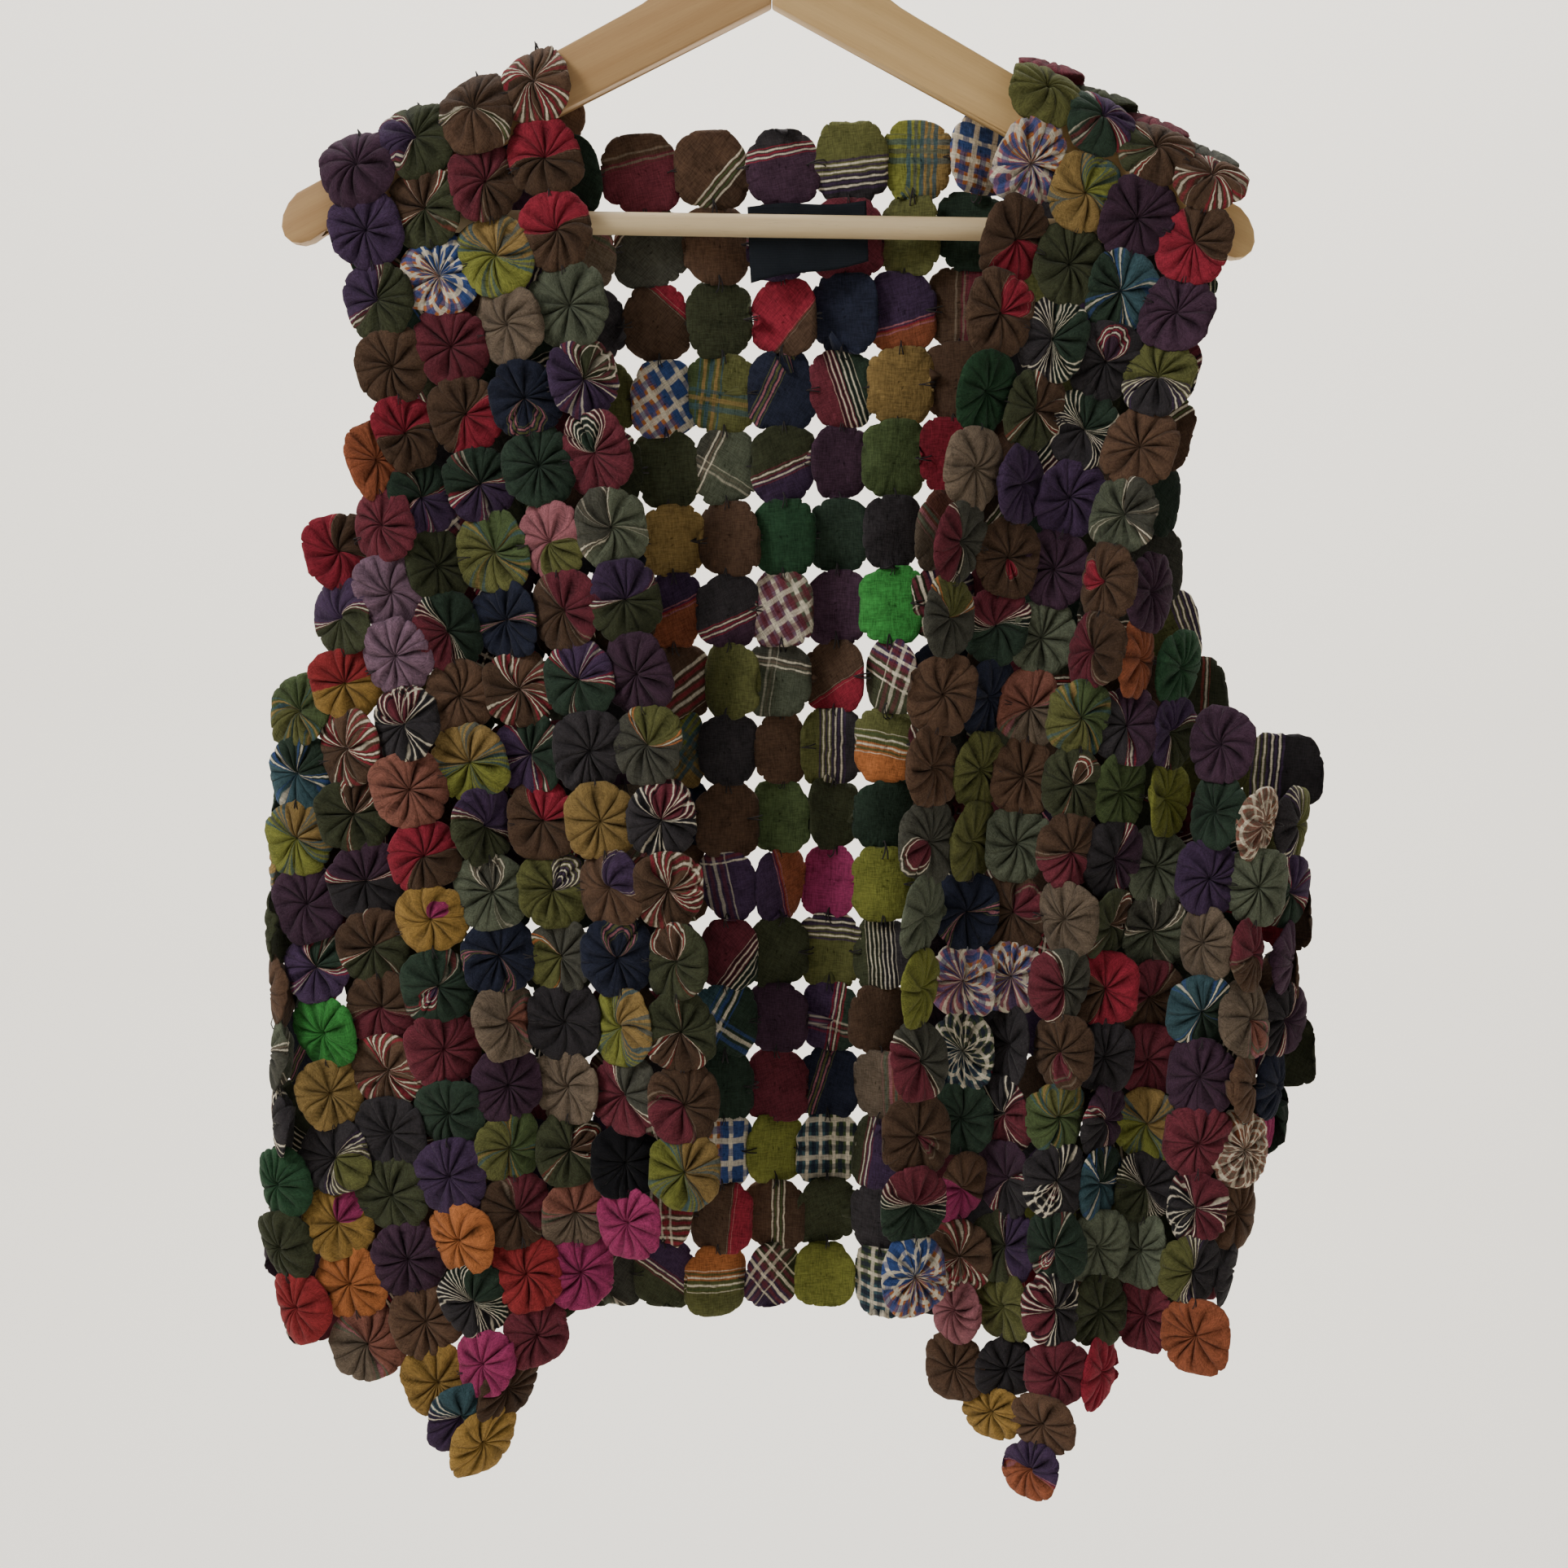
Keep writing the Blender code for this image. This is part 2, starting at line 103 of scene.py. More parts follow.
# %% Wires and trees
class Wire:
    """A socket that can be used in Python expressions."""

    def __init__(self, tree, socket):
        self.tree = tree
        self.socket = socket

    def __add__(self, other):
        return self.tree.math("ADD", self, other)

    __radd__ = __add__

    def __sub__(self, other):
        return self.tree.math("SUBTRACT", self, other)

    def __rsub__(self, other):
        return self.tree.math("SUBTRACT", other, self)

    def __mul__(self, other):
        return self.tree.math("MULTIPLY", self, other)

    __rmul__ = __mul__

    def __truediv__(self, other):
        return self.tree.math("DIVIDE", self, other)

    def __rtruediv__(self, other):
        return self.tree.math("DIVIDE", other, self)

    def __pow__(self, other):
        return self.tree.math("POWER", self, other)

    def __abs__(self):
        return self.tree.math("ABSOLUTE", self)

    def over(self, low):
        """The larger of this and a number."""
        return self.tree.math("MAXIMUM", self, low)

    def clamped(self):
        """Kept between 0 and 1."""
        return self.tree.math("MINIMUM", self.over(0.0), 1.0)

    def part(self, axis):
        """The X, Y or Z of a vector."""
        return self.tree.add("ShaderNodeSeparateXYZ", {}, {0: self}, axis)


class Tree:
    """A node tree that is built in lines of Python."""

    def __init__(self, node_tree):
        self.made = node_tree

    def add(self, kind, settings, sockets, out=0):
        """One node: its type, its options, then the values or links of its sockets."""
        node = self.made.nodes.new(kind)
        for name, value in settings.items():
            setattr(node, name, value)
        for key, value in sockets.items():
            if isinstance(value, Wire):
                self.made.links.new(value.socket, node.inputs[key])
            else:
                node.inputs[key].default_value = value
        return Wire(self, node.outputs[out]) if out is not None else node

    def math(self, operation, a, b=None):
        """Math on values, Vector Math where a vector takes part."""
        given = [v for v in (a, b) if v is not None]
        flat = [
            isinstance(v, (int, float)) or isinstance(v, Wire) and v.socket.type == "VALUE"
            for v in given
        ]
        if all(flat):
            return self.add("ShaderNodeMath", {"operation": operation}, dict(enumerate(given)))
        if operation == "MULTIPLY" and any(flat):
            vector, scale = (b, a) if flat[0] else (a, b)
            sockets = {0: vector, "Scale": scale}
            return self.add("ShaderNodeVectorMath", {"operation": "SCALE"}, sockets)
        settings = {"operation": operation}
        return self.add("ShaderNodeVectorMath", settings, dict(enumerate(given)))

    def vector(self, x, y, z):
        return self.add("ShaderNodeCombineXYZ", {}, {0: x, 1: y, 2: z})

    def mix(self, share, a, b, blend="MIX"):
        """One colour turning into another."""
        settings = {"data_type": "RGBA", "blend_type": blend}
        return self.add("ShaderNodeMix", settings, {0: share, 6: a, 7: b}, 2)


# %% [markdown]
# ## Where every rosette sits
#
# The maker ties rosettes into strips from hem to shoulder and joins the strips. So a
# rosette is named by its panel, its strip and its row. The plain solids were lofted
# through the same places, and the sizes below repeat theirs, in millimetres. A sewn net
# like this could be simulated as cloth, but it hangs almost flat, and a rule keeps every
# rosette where the hanging vest has it.

# %% Sizes of the net
APEX, ARM_SLOPE, ARM_HEIGHT, ARM_THICK = -105.0, 0.505, 28.0, 13.0
OVER_ARM = 4.6  # height of a shoulder's tie above the hanger
ON_SHOULDER = 4  # strips of a front that reach the shoulder
FOLD, TAPER_ROW = 20.0, 12  # radius of the side fold, and the row where a side draws in
SHOULDER_STEP = 12.3
FRONT_DEPTH = (12.0, 25.0)  # how far a front lies before the hanger, at top and hem
RIGHT_FRONT = {
    "name": "right_front_strip",
    "side": -1,
    "first": (0, 0, 0, 0, 4, 5, 7, 8),  # first and last row of each strip
    "last": (15, 16, 17, 20, 19, 18, 17, 16),
    "edge": (105.0, 32.0, 15.0, 1.2),  # edge at shoulder and hem, rows between, power
    "pitch": (26.5, 27.0),
    "reach": (224.0, 0.0),  # from the middle to the side fold, and its loss for each row
    "top": -142.0,
    "drop": (32.7, 1.03),  # row height at the opening, and its loss for each strip
    "sag": 12.5,  # drop of each strip under the armhole
    "armhole": 14.0,  # how far the armhole's edge is drawn in at its top
    "hem": (15, 0.13, 1.4, 18, 17.0),  # low row, lost height, lean, row of the tip, swing
    "ripple": (2.0, 6.5, 3.6, 0.5),  # depth at the shoulder and below, period, phase
}
LEFT_FRONT = {
    "name": "left_front_strip",
    "side": 1,
    "first": (0, 0, 0, 0, 6, 7, 8, 9, 9),
    "last": (16, 18, 19, 20, 18, 17, 17, 16, 16),
    "edge": (123.0, 74.0, 12.0, 1.0),
    "pitch": (25.0, 21.5),
    "reach": (250.0, 6.5),
    "top": -141.0,
    "drop": (33.6, 1.1),
    "sag": 4.0,
    "armhole": 3.0,
    "hem": (16, 0.25, -0.3, 18, -6.0),
    "ripple": (2.0, 11.0, 3.3, 1.2),
}
BACK_STRIPS, BACK_LAST = 17, 18
BACK_MIDDLE, BACK_CENTRE = 22.0, 8.5  # where its middle hangs, and which strip that is
NECK_STRIPS, NECK_FIRST = range(6, 12), 2
SIDE_FIRST = {0: 10, 1: 9, 16: 10}  # first rows of the strips under the armholes
INNER = 3.5  # strips from the middle to the shoulder's inner strip
BACK_PITCH = (24.5, 8.0, 12.5, 10.5, 2.5)  # least pitch, its growth away from one row
BACK_DRAWN = 2.5  # how much closer the left half's strips are at the neck
BACK_UPPER = {-1: 28.0, 1: 23.0}  # pitch of the outer strips above the armholes' end
BACK_TOP, BACK_DROP, BACK_LOSS = -103.0, 34.6, 0.09  # row 0, row height, loss with each row
BACK_LEAN = 2.4  # how much each strip of the middle lies above its neighbour towards +X
BACK_STEP, BACK_LEAST_STEP, LEVEL_ROW = 13.0, 2.5, 12  # the shoulder's steps, until a row
BACK_SAG = 4.0  # drop of each strip under the armhole
BACK_DEPTH = (13.0, 19.0)
BACK_RIPPLE, BACK_PERIOD = 7.0, 3.1
SIDE_DEPTH = 4.0  # how far a side of the back lies behind the front's last strip
SIDE_OFFSET = 2  # a front's row meets the back's row this much further down at a side


def smooth(t):
    """0 to 1 with level ends."""
    t = min(1.0, max(0.0, t))
    return t * t * (3 - 2 * t)


def arm_top(x):
    """Height of the hanger's upper edge."""
    return APEX + ARM_HEIGHT - ARM_SLOPE * abs(x)


print("hanger's top edge at the neck and 200 mm out:", arm_top(0), arm_top(200))

# %% A rosette of a front
def front_spot(front, column, row):
    """Strips lie level, then turn round the side fold."""
    top_edge, low_edge, rows, power = front["edge"]
    inwards = math.sin(math.pi / 2 * min(1.0, row / rows) ** power)
    edge = top_edge + (low_edge - top_edge) * inwards
    pitch = front["pitch"][0] + (front["pitch"][1] - front["pitch"][0]) * smooth(row / 8)
    depth = FRONT_DEPTH[0] + (FRONT_DEPTH[1] - FRONT_DEPTH[0]) * smooth(row / 13)
    shallow, deep, period, phase = front["ripple"]
    ripple = (shallow + (deep - shallow) * smooth(row / 7)) * math.sin(
        2 * math.pi * column / period + phase + 0.05 * row
    )
    along = pitch * column
    reach, taper = front["reach"]
    straight = reach - taper * max(0, row - TAPER_ROW) - edge - FOLD
    turn = max(0.0, along - straight) / FOLD
    x = edge + min(along, straight) + FOLD * math.sin(turn)
    beyond = min(column, ON_SHOULDER + 1) - ON_SHOULDER + 1
    x -= front["armhole"] * max(0, beyond) ** 0.6 * max(0.0, 9 - row) / 5
    low_row, shrink, lean, tip_row, swing = front["hem"]
    x -= lean * min(column, 5) * max(0, row - low_row)
    x += swing * max(0, row - tip_row)
    y = -depth + FOLD * (1 - math.cos(turn)) - ripple * max(0.0, math.cos(turn))
    inside = min(column, ON_SHOULDER - 1)
    height, loss = front["drop"]
    lost = max(0, row - low_row) * max(0.0, 1 - column / 3) + max(0, row - tip_row)
    rows_down = row - shrink * lost
    z = front["top"] - SHOULDER_STEP * inside - (height - loss * inside) * rows_down
    z -= front["sag"] * max(0, column - ON_SHOULDER + 1)
    return Vector((front["side"] * x, y, z))


print("top of the opening, right front:", tuple(front_spot(RIGHT_FRONT, 0, 0)))

# %% A rosette of the back
def back_spot(column, row):
    """The back hangs behind the hanger and meets the fronts at its two sides."""
    offset = column - BACK_CENTRE
    side = math.copysign(1, offset)
    least, growth, narrow_row, spread, power = BACK_PITCH
    pitch = least + growth * abs((row - narrow_row) / spread) ** power
    if side > 0:
        pitch -= BACK_DRAWN * smooth((10 - row) / 8)
    inner = BACK_MIDDLE + side * pitch * min(abs(offset), INNER)
    outer = max(0.0, abs(offset) - INNER)
    front = LEFT_FRONT if side > 0 else RIGHT_FRONT
    last = BACK_STRIPS - 1 if side > 0 else 0
    meets = front_spot(front, len(front["first"]), max(row - SIDE_OFFSET, 0))
    steps = abs(last - BACK_CENTRE) - INNER
    wide = (meets.x - inner) / steps
    upper = side * BACK_UPPER[side]
    blend = smooth((row - 6) / 4)
    x = inner + outer * (upper + (wide - upper) * blend)
    shoulder = front_spot(front, min(outer, ON_SHOULDER - 1), 0)
    if outer or abs(offset) == INNER:
        x += (shoulder.x - x) * math.exp(-(row - 0.5) / 0.9)
    depth = BACK_DEPTH[0] + (BACK_DEPTH[1] - BACK_DEPTH[0]) * smooth(row / 9)
    ripple = BACK_RIPPLE * smooth((row - 3) / 6)
    y = depth + ripple * math.sin(2 * math.pi * offset / BACK_PERIOD + 0.08 * row)
    y += (meets.y + SIDE_DEPTH - y) * blend * smooth((outer - steps + 2) / 2)
    z = BACK_TOP - BACK_DROP * row + BACK_LOSS * row * row
    z += BACK_LEAN * (side * min(abs(offset), INNER)) * (1 - row / BACK_LAST)
    steep = max(BACK_LEAST_STEP, BACK_STEP * (1 - row / LEVEL_ROW))
    z -= min(outer, ON_SHOULDER - 1) * steep
    z -= BACK_SAG * max(0.0, outer - ON_SHOULDER + 1)
    return Vector((x, y, z))


print("a rosette in the middle of the back:", tuple(back_spot(8, 8)))

# %% The whole net
def plan():
    """Every rosette by (panel, strip, row), with its middle."""
    spots = {}
    for panel in (RIGHT_FRONT, LEFT_FRONT):
        for column, (first, last) in enumerate(zip(panel["first"], panel["last"])):
            for row in range(first, last + 1):
                spots[panel["name"], column, row] = front_spot(panel, column, row)
    for column in range(BACK_STRIPS):
        first = SIDE_FIRST.get(column, NECK_FIRST if column in NECK_STRIPS else 1)
        for row in range(first, BACK_LAST + 1):
            spots["back_strip", column, row] = back_spot(column, row)
    return spots


SPOTS = plan()
STRIPS = sorted({key[:2] for key in SPOTS})
print("rosettes:", len(SPOTS), "in", len(STRIPS), "strips")

# %% [markdown]
# ## Where the ties are
#
# Each rosette is tied at four points, halfway to its neighbours. At the rim of a panel
# the missing tie is put opposite the one across. On the shoulders the tie lies on top of
# the hanger, and the side strips of a front are tied to the back two rows further down.

# %% Neighbours and ties
def beside(key, step):
    """The rosette tied to this one towards +X or -X, or None."""
    panel, column, row = key
    if panel == "back_strip":
        found = (panel, column + step, row)
        if column + step < 0:
            found = (RIGHT_FRONT["name"], len(RIGHT_FRONT["first"]) - 1, row - SIDE_OFFSET)
        elif column + step == BACK_STRIPS:
            found = (LEFT_FRONT["name"], len(LEFT_FRONT["first"]) - 1, row - SIDE_OFFSET)
        return found if found in SPOTS else None
    front = LEFT_FRONT if panel == LEFT_FRONT["name"] else RIGHT_FRONT
    outwards = step * front["side"]
    found = (panel, column + outwards, row)
    if outwards > 0 and column == len(front["first"]) - 1:
        found = ("back_strip", BACK_STRIPS - 1 if front["side"] > 0 else 0, row + SIDE_OFFSET)
    return found if found in SPOTS else None


def ridge(key):
    """The tie on top of the hanger for a shoulder's highest rosette, or None."""
    panel, column, row = key
    front = LEFT_FRONT if panel == LEFT_FRONT["name"] else RIGHT_FRONT
    if panel == "back_strip":
        outer = abs(column - BACK_CENTRE) - INNER
        if row != 1 or not 0 <= outer < ON_SHOULDER:
            return None
        front = LEFT_FRONT if column > BACK_CENTRE else RIGHT_FRONT
        column = outer
    elif row != 0:
        return None
    x = front_spot(front, column, 0).x
    return Vector((x, 0.0, arm_top(x) + OVER_ARM))


def ties(key):
    """The tied points towards +X and -X, above and below."""
    middle = SPOTS[key]
    panel, column, row = key
    found = []
    upper, lower = (panel, column, row - 1), (panel, column, row + 1)
    for other in (beside(key, 1), beside(key, -1), upper, lower):
        found.append((middle + SPOTS[other]) / 2 if other in SPOTS else None)
    found[2] = ridge(key) or found[2]
    for one, across in ((0, 1), (1, 0), (2, 3), (3, 2)):
        if found[one] is None and found[across] is not None:
            found[one] = 2 * middle - found[across]
    if found[0] is None:
        above = ties((panel, column, row - 1))
        half = (above[0] - above[1]) / 2
        found[0], found[1] = middle + half, middle - half
    return found


worst = 0.0
for panel, column in STRIPS:
    low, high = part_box(f"{panel}_{column + 1:02d}")
    rows = [SPOTS[key] * MM for key in SPOTS if key[:2] == (panel, column)]
    for axis in range(3):
        inside = [low[axis] <= spot[axis] <= high[axis] for spot in rows]
        worst = max(worst, 1 - sum(inside) / len(inside))
print("share of rosettes outside their plain solid's box:", worst)

# %% [markdown]
# ## Gathering a rosette
#
# A running stitch round a circle of cloth is drawn tight, so the rim folds in to the
# middle. The outside is a ring of pleats that are deep at the middle and fade at the
# edge; the inside stays flat. A dozen samples are enough, since each is turned, tilted
# and stretched differently. They are built ring by ring, because pleats follow angles,
# and they carry the place of every point on the flat circle before it was gathered.

# %% One sample
DISC = 16.0
FRONT_RINGS = (  # share of the radius, height in mm, depth of the creases in mm
    (0.05, 0.5, 0.4),
    (0.13, 2.5, 1.9),
    (0.28, 3.3, 2.8),
    (0.48, 3.2, 2.7),
    (0.68, 2.7, 2.1),
    (0.86, 1.8, 1.2),
    (0.97, 0.7, 0.5),
    (1.0, 0.0, 0.1),
)
BACK_RINGS = ((0.96, -0.6), (0.80, -1.1), (0.42, -1.4))  # share of the radius, height
PLEAT_STEPS = ((0.0, 1.0), (0.07, 0.46), (0.28, 0.08), (0.62, 0.0), (0.9, 0.4))  # along, crease
OUTLINE = ((2, 0.03), (3, 0.035), (5, 0.022))  # waves round the rim, and their heights
SAMPLES, FIRST_SEED = 12, 700


def rim_wave(angle, random):
    """A slightly uneven outline."""
    waves = [high * math.sin(n * angle + turn) for (n, high), turn in zip(OUTLINE, random)]
    return 1 + sum(waves)


def pleat_angles(rng):
    """The angles of the samples round the disc, with how deep each lies in its crease."""
    count = int(rng.integers(11, 15))
    widths = rng.uniform(0.6, 1.45, count)
    starts = np.concatenate(([0.0], np.cumsum(widths))) / widths.sum() * 2 * math.pi
    found = []
    for i in range(count):
        depth, reach, bend = rng.uniform(0.6, 1.15), rng.uniform(0.85, 1.3), rng.normal(0, 0.2)
        for along, crease in PLEAT_STEPS:
            angle = starts[i] + along * (starts[i + 1] - starts[i])
            found.append((angle, crease, depth, reach, bend))
    return found


def rosette_rings(rng):
    """Rings of (point, place on the cloth, crease), from the gathers to the flat back."""
    columns = pleat_angles(rng)
    phases = rng.uniform(0, 2 * math.pi, 3)
    twist = rng.normal(0, 0.2)
    rings = []
    for share, height, depth in FRONT_RINGS:
        ring = []
        for angle, crease, strength, reach, bend in columns:
            fade = 0.3 + 0.7 * smooth((reach - share) / 0.3)
            sunk = crease * strength * fade
            turned = angle + twist * (1 - share) ** 2 + bend * share * (1 - share) * 2
            radius = share * (1 + (rim_wave(angle, phases) - 1) * share) * (1 - 0.13 * sunk * share)
            place = Vector((math.cos(angle), math.sin(angle), 0)) * DISC * (2 - share)
            spot = Vector((radius * math.cos(turned), radius * math.sin(turned), 0))
            spot.z = (height - depth * sunk) * MM
            ring.append((spot, place, sunk * (1 - 0.7 * share**3)))
        rings.append(ring)
    for share, height in BACK_RINGS:
        ring = []
        for angle, crease, strength, reach, bend in columns:
            radius = share * (1 + (rim_wave(angle, phases) - 1) * share)
            radius *= 1 - 0.05 * crease * strength * share
            pucker = 0.25 * math.sin(3 * angle + phases[0]) * share
            spot = Vector((radius * math.cos(angle), radius * math.sin(angle), 0))
            spot.z = (height + pucker + 0.18 * crease * share) * MM
            ring.append((spot, spot * DISC, 0.15 * crease * share * share))
        rings.append(ring)
    return rings


print("points round a sample:", [len(ring) for ring in rosette_rings(np.random.default_rng(1))])

# %% A sample as a mesh
def cell_place(angle, share, cell):
    """A point of a disc on its square of the cloth's flat map."""
    reach = 0.47 * share
    return (0.5 + cell + reach * math.cos(angle), 0.5 + reach * math.sin(angle))


def sample_rosette(number):
    """A closed double disc of radius 1, with its cloth places, creases and flat map."""
    rng = np.random.default_rng(FIRST_SEED + number)
    rings = rosette_rings(rng)
    count = len(rings[0])
    shares = [ring[0] for ring in FRONT_RINGS] + [ring[0] for ring in BACK_RINGS]
    points = [item for ring in rings for item in ring]
    # The gathered hole gets a full crease, so the cotton darkens the middle as painted shade.
    hole = (Vector((0, 0, 0.2 * MM)), Vector((2 * DISC, 0, 0)), 1.0)
    heart = (Vector((0, 0, -1.6 * MM)), Vector((0, 0, 0)), 0.0)
    points += [hole, heart]
    faces, maps = [], []
    rim = len(FRONT_RINGS) - 1
    for i in range(len(rings) - 1):
        cell = 0 if i < rim else 1
        for j in range(count):
            k = (j + 1) % count
            faces.append((i * count + j, (i + 1) * count + j, (i + 1) * count + k, i * count + k))
            corners = ((i, j), (i + 1, j), (i + 1, j + 1), (i, j + 1))
            maps += [
                cell_place(2 * math.pi * b / count, shares[a], cell) for a, b in corners
            ]
    for j in range(count):
        k = (j + 1) % count
        last = len(rings) - 1
        faces.append((len(points) - 2, j, k))
        maps += [(0.5, 0.5)] + [
            cell_place(2 * math.pi * b / count, shares[0], 0) for b in (j, j + 1)
        ]
        faces.append((len(points) - 1, last * count + k, last * count + j))
        maps += [(1.5, 0.5)] + [
            cell_place(2 * math.pi * b / count, shares[-1], 1) for b in (j + 1, j)
        ]
    mesh = bpy.data.meshes.new(f"sample_{number:02d}")
    mesh.from_pydata([point for point, place, crease in points], [], faces)
    mesh.uv_layers.new(name="OFBake").uv.foreach_set("vector", [v for uv in maps for v in uv])
    cloth = mesh.attributes.new("cloth", "FLOAT_VECTOR", "POINT")
    cloth.data.foreach_set("vector", [v for point in points for v in point[1]])
    creases = mesh.attributes.new("crease", "FLOAT", "POINT")
    creases.data.foreach_set("value", [point[2] for point in points])
    mesh.polygons.foreach_set("use_smooth", [True] * len(faces))
    return mesh


samples = bpy.data.collections.new("sample_rosettes")
bpy.context.scene.collection.children.link(samples)
for number in range(SAMPLES):
    samples.objects.link(bpy.data.objects.new(f"sample_{number:02d}", sample_rosette(number)))

# %% [markdown]
# ## How each rosette hangs
#
# A limp disc is wider than its share of the net, so it turns a little about its upper
# and lower tie, like the slat of a blind, and overlaps its neighbour. Its rim is pulled
# back to the four ties. All this is worked out here as vectors for every rosette, and
# the node tree below only has to follow them.

# %% The pose of one rosette
NATURAL = 16.4  # radius of a rosette that nothing crowds
LONGEST_SLIP, LONGEST_LIFT = 7.0, 2.6
GROWN, SPREAD, GROWN_BEHIND = 1.18, 0.03, 0.04  # how much rosettes overlap their share
GRIP = {"back_strip": 0.95, "front": 0.4}  # how far a rim follows its ties
DEEPEST_BOW = 6.0
rng = np.random.default_rng(41)
UP = Vector((0, 0, 1))


def held_back(pull, facing):
    """A pull kept short, most of all out of the disc's own plane, so no rim turns to a spike."""
    out = pull.dot(facing)
    slip = pull - facing * out
    if slip.length > LONGEST_SLIP:
        slip *= LONGEST_SLIP / slip.length
    return slip + facing * max(-LONGEST_LIFT, min(LONGEST_LIFT, out))


def covered(key):
    """True on the back where a front lies before it; such a rosette is grown a little and darkened
    as painted shade.
    """
    return key[0] == "back_strip" and key[2] > 4 and not 5 < key[1] < 11


def pose(key):
    """The vectors that the node tree needs for one rosette, in metres."""
    panel, column, row = key
    middle = SPOTS[key]
    east, west, above, below = ties(key)
    if panel == "back_strip":
        east, west = west, east
    across, upward = (east - west) / 2, (above - below) / 2
    normal = across.cross(upward).normalized()
    lean = across.normalized().dot(upward.normalized())
    grown = float(rng.normal(GROWN, SPREAD)) + (GROWN_BEHIND if covered(key) else 0.0)
    width = grown * max(across.length, 0.5 * across.length + 0.5 * NATURAL)
    height = grown * max(upward.length, min(NATURAL, upward.length * 1.06))
    right = (across.normalized() - upward.normalized() * lean / 2).normalized()
    top = (upward.normalized() - across.normalized() * lean / 2).normalized()
    crowd = math.acos(min(1.0, across.length / NATURAL)) * 0.55
    swing = float(rng.choice((-1, 1)) * rng.uniform(0.35, 1.0) * crowd + rng.normal(0, 0.13))
    nod = float(rng.normal(0, 0.11))
    over = Vector((0, 0, 0))
    if ridge(key):
        swing, nod, over = swing * 0.3, 0.0, UP - normal
    right = (Matrix.Rotation(swing, 3, top) @ right) * width
    top = (Matrix.Rotation(nod, 3, right.normalized()) @ top) * height
    facing = right.cross(top).normalized()
    drift = rng.normal(0, 0.5, 3)
    middle = middle + facing * float(drift[0])
    if not ridge(key):
        middle = middle + Vector((float(drift[1]), 0, float(drift[2])))
    bows = [
        facing.dot((one + other) / 2 - middle) for one, other in ((east, west), (above, below))
    ]
    if not ridge(key):
        bows = [max(-DEEPEST_BOW, min(DEEPEST_BOW, bow)) for bow in bows]
    grip = GRIP.get(panel, GRIP["front"])
    pulls = []
    for tie, arm, bow in (
        (east, right, bows[0]),
        (west, -right, bows[0]),
        (above, top, bows[1]),
        (below, -top, bows[1]),
    ):
        pulls.append(held_back((tie - middle - arm - facing * bow) * grip, facing))
    found = {
        "middle": middle,
        "right": right,
        "top": top,
        "pull_east": pulls[0],
        "pull_west": pulls[1],
        "pull_above": pulls[2],
        "pull_below": pulls[3],
        "bows": Vector((bows[0], bows[1], 0)),
    }
    found = {name: vector * MM for name, vector in found.items()}
    found.update({"facing": facing, "over": over})
    return found


poses = {key: pose(key) for key in sorted(SPOTS)}
print("one rosette:", {name: tuple(v) for name, v in poses["back_strip", 8, 6].items()})

# %% [markdown]
# ## The tree that hangs the rosettes
#
# Instances keep hundreds of copies light while they are placed. Here each copy must bend
# differently, so the tree realizes them first and then moves every point: along the
# rosette's own right, top and facing vectors, out by its bow, and at the rim towards the
# ties. Near the hanger a rosette is pushed clear of the wood, as cloth is when it lies
# over a bar.

# %% Helpers for named attributes
def named(tree, name, kind="FLOAT_VECTOR"):
    settings = {"data_type": kind}
    return tree.add("GeometryNodeInputNamedAttribute", settings, {"Name": name})


def group_with_inputs(name, inputs):
    """A Geometry Nodes group with a geometry in and out and named inputs of its own."""
    made = bpy.data.node_groups.new(name, "GeometryNodeTree")
    made.interface.new_socket("Geometry", in_out="INPUT", socket_type="NodeSocketGeometry")
    made.interface.new_socket("Geometry", in_out="OUTPUT", socket_type="NodeSocketGeometry")
    for label, kind, default in inputs:
        socket = made.interface.new_socket(label, in_out="INPUT", socket_type=kind)
        if default is not None:
            socket.default_value = default
    tree = Tree(made)
    entry = tree.add("NodeGroupInput", {}, {}, None)
    labels = [label for label in entry.outputs.keys() if label]
    return tree, {label: Wire(tree, entry.outputs[label]) for label in labels}


print("vectors that place a rosette:", list(poses["back_strip", 8, 6]))

# %% The rosette's shape
RIM_POWER = 22.0  # how narrow the stretch of rim is that follows a tie
ROUNDED, EDGE_SHARPNESS = 5.0, 200.0


def disc_surface(tree, local):
    """The middle surface of a bent rosette, from its flat disc."""
    right, top, facing = (named(tree, name) for name in ("right", "top", "facing"))
    t, s = local.part("X"), local.part("Y")
    bows = named(tree, "bows")
    spot = named(tree, "middle") + right * t + top * s
    spot = spot + facing * (t * t * bows.part("X") + s * s * bows.part("Y"))
    for name, amount in (
        ("pull_east", t),
        ("pull_west", t * -1.0),
        ("pull_above", s),
        ("pull_below", s * -1.0),
    ):
        spot = spot + named(tree, name) * amount.over(0.0) ** RIM_POWER
    return spot


def clear_of_wood(tree, spot, gap):
    """Pushes a point out of a rounded bar along both sloping arms of the hanger."""
    corner = ROUNDED * MM
    upper = (APEX + ARM_HEIGHT) * MM - abs(spot.part("X")) * ARM_SLOPE
    beyond = (abs(spot.part("Y")) - (ARM_THICK / 2 * MM - corner)).over(0.0)
    raised = (spot.part("Z") - upper + corner).over(0.0)
    distance = (beyond * beyond + raised * raised + 1e-10) ** 0.5
    push = (corner + gap - distance).over(0.0)
    near = ((spot.part("Z") - upper + (ARM_HEIGHT + 10) * MM) * EDGE_SHARPNESS).clamped()
    push = push * near / distance
    side = tree.math("SIGN", spot.part("Y"))
    return spot + tree.vector(0.0, side * beyond * push, raised * push)


print("a rim is drawn to its ties by the power", RIM_POWER)

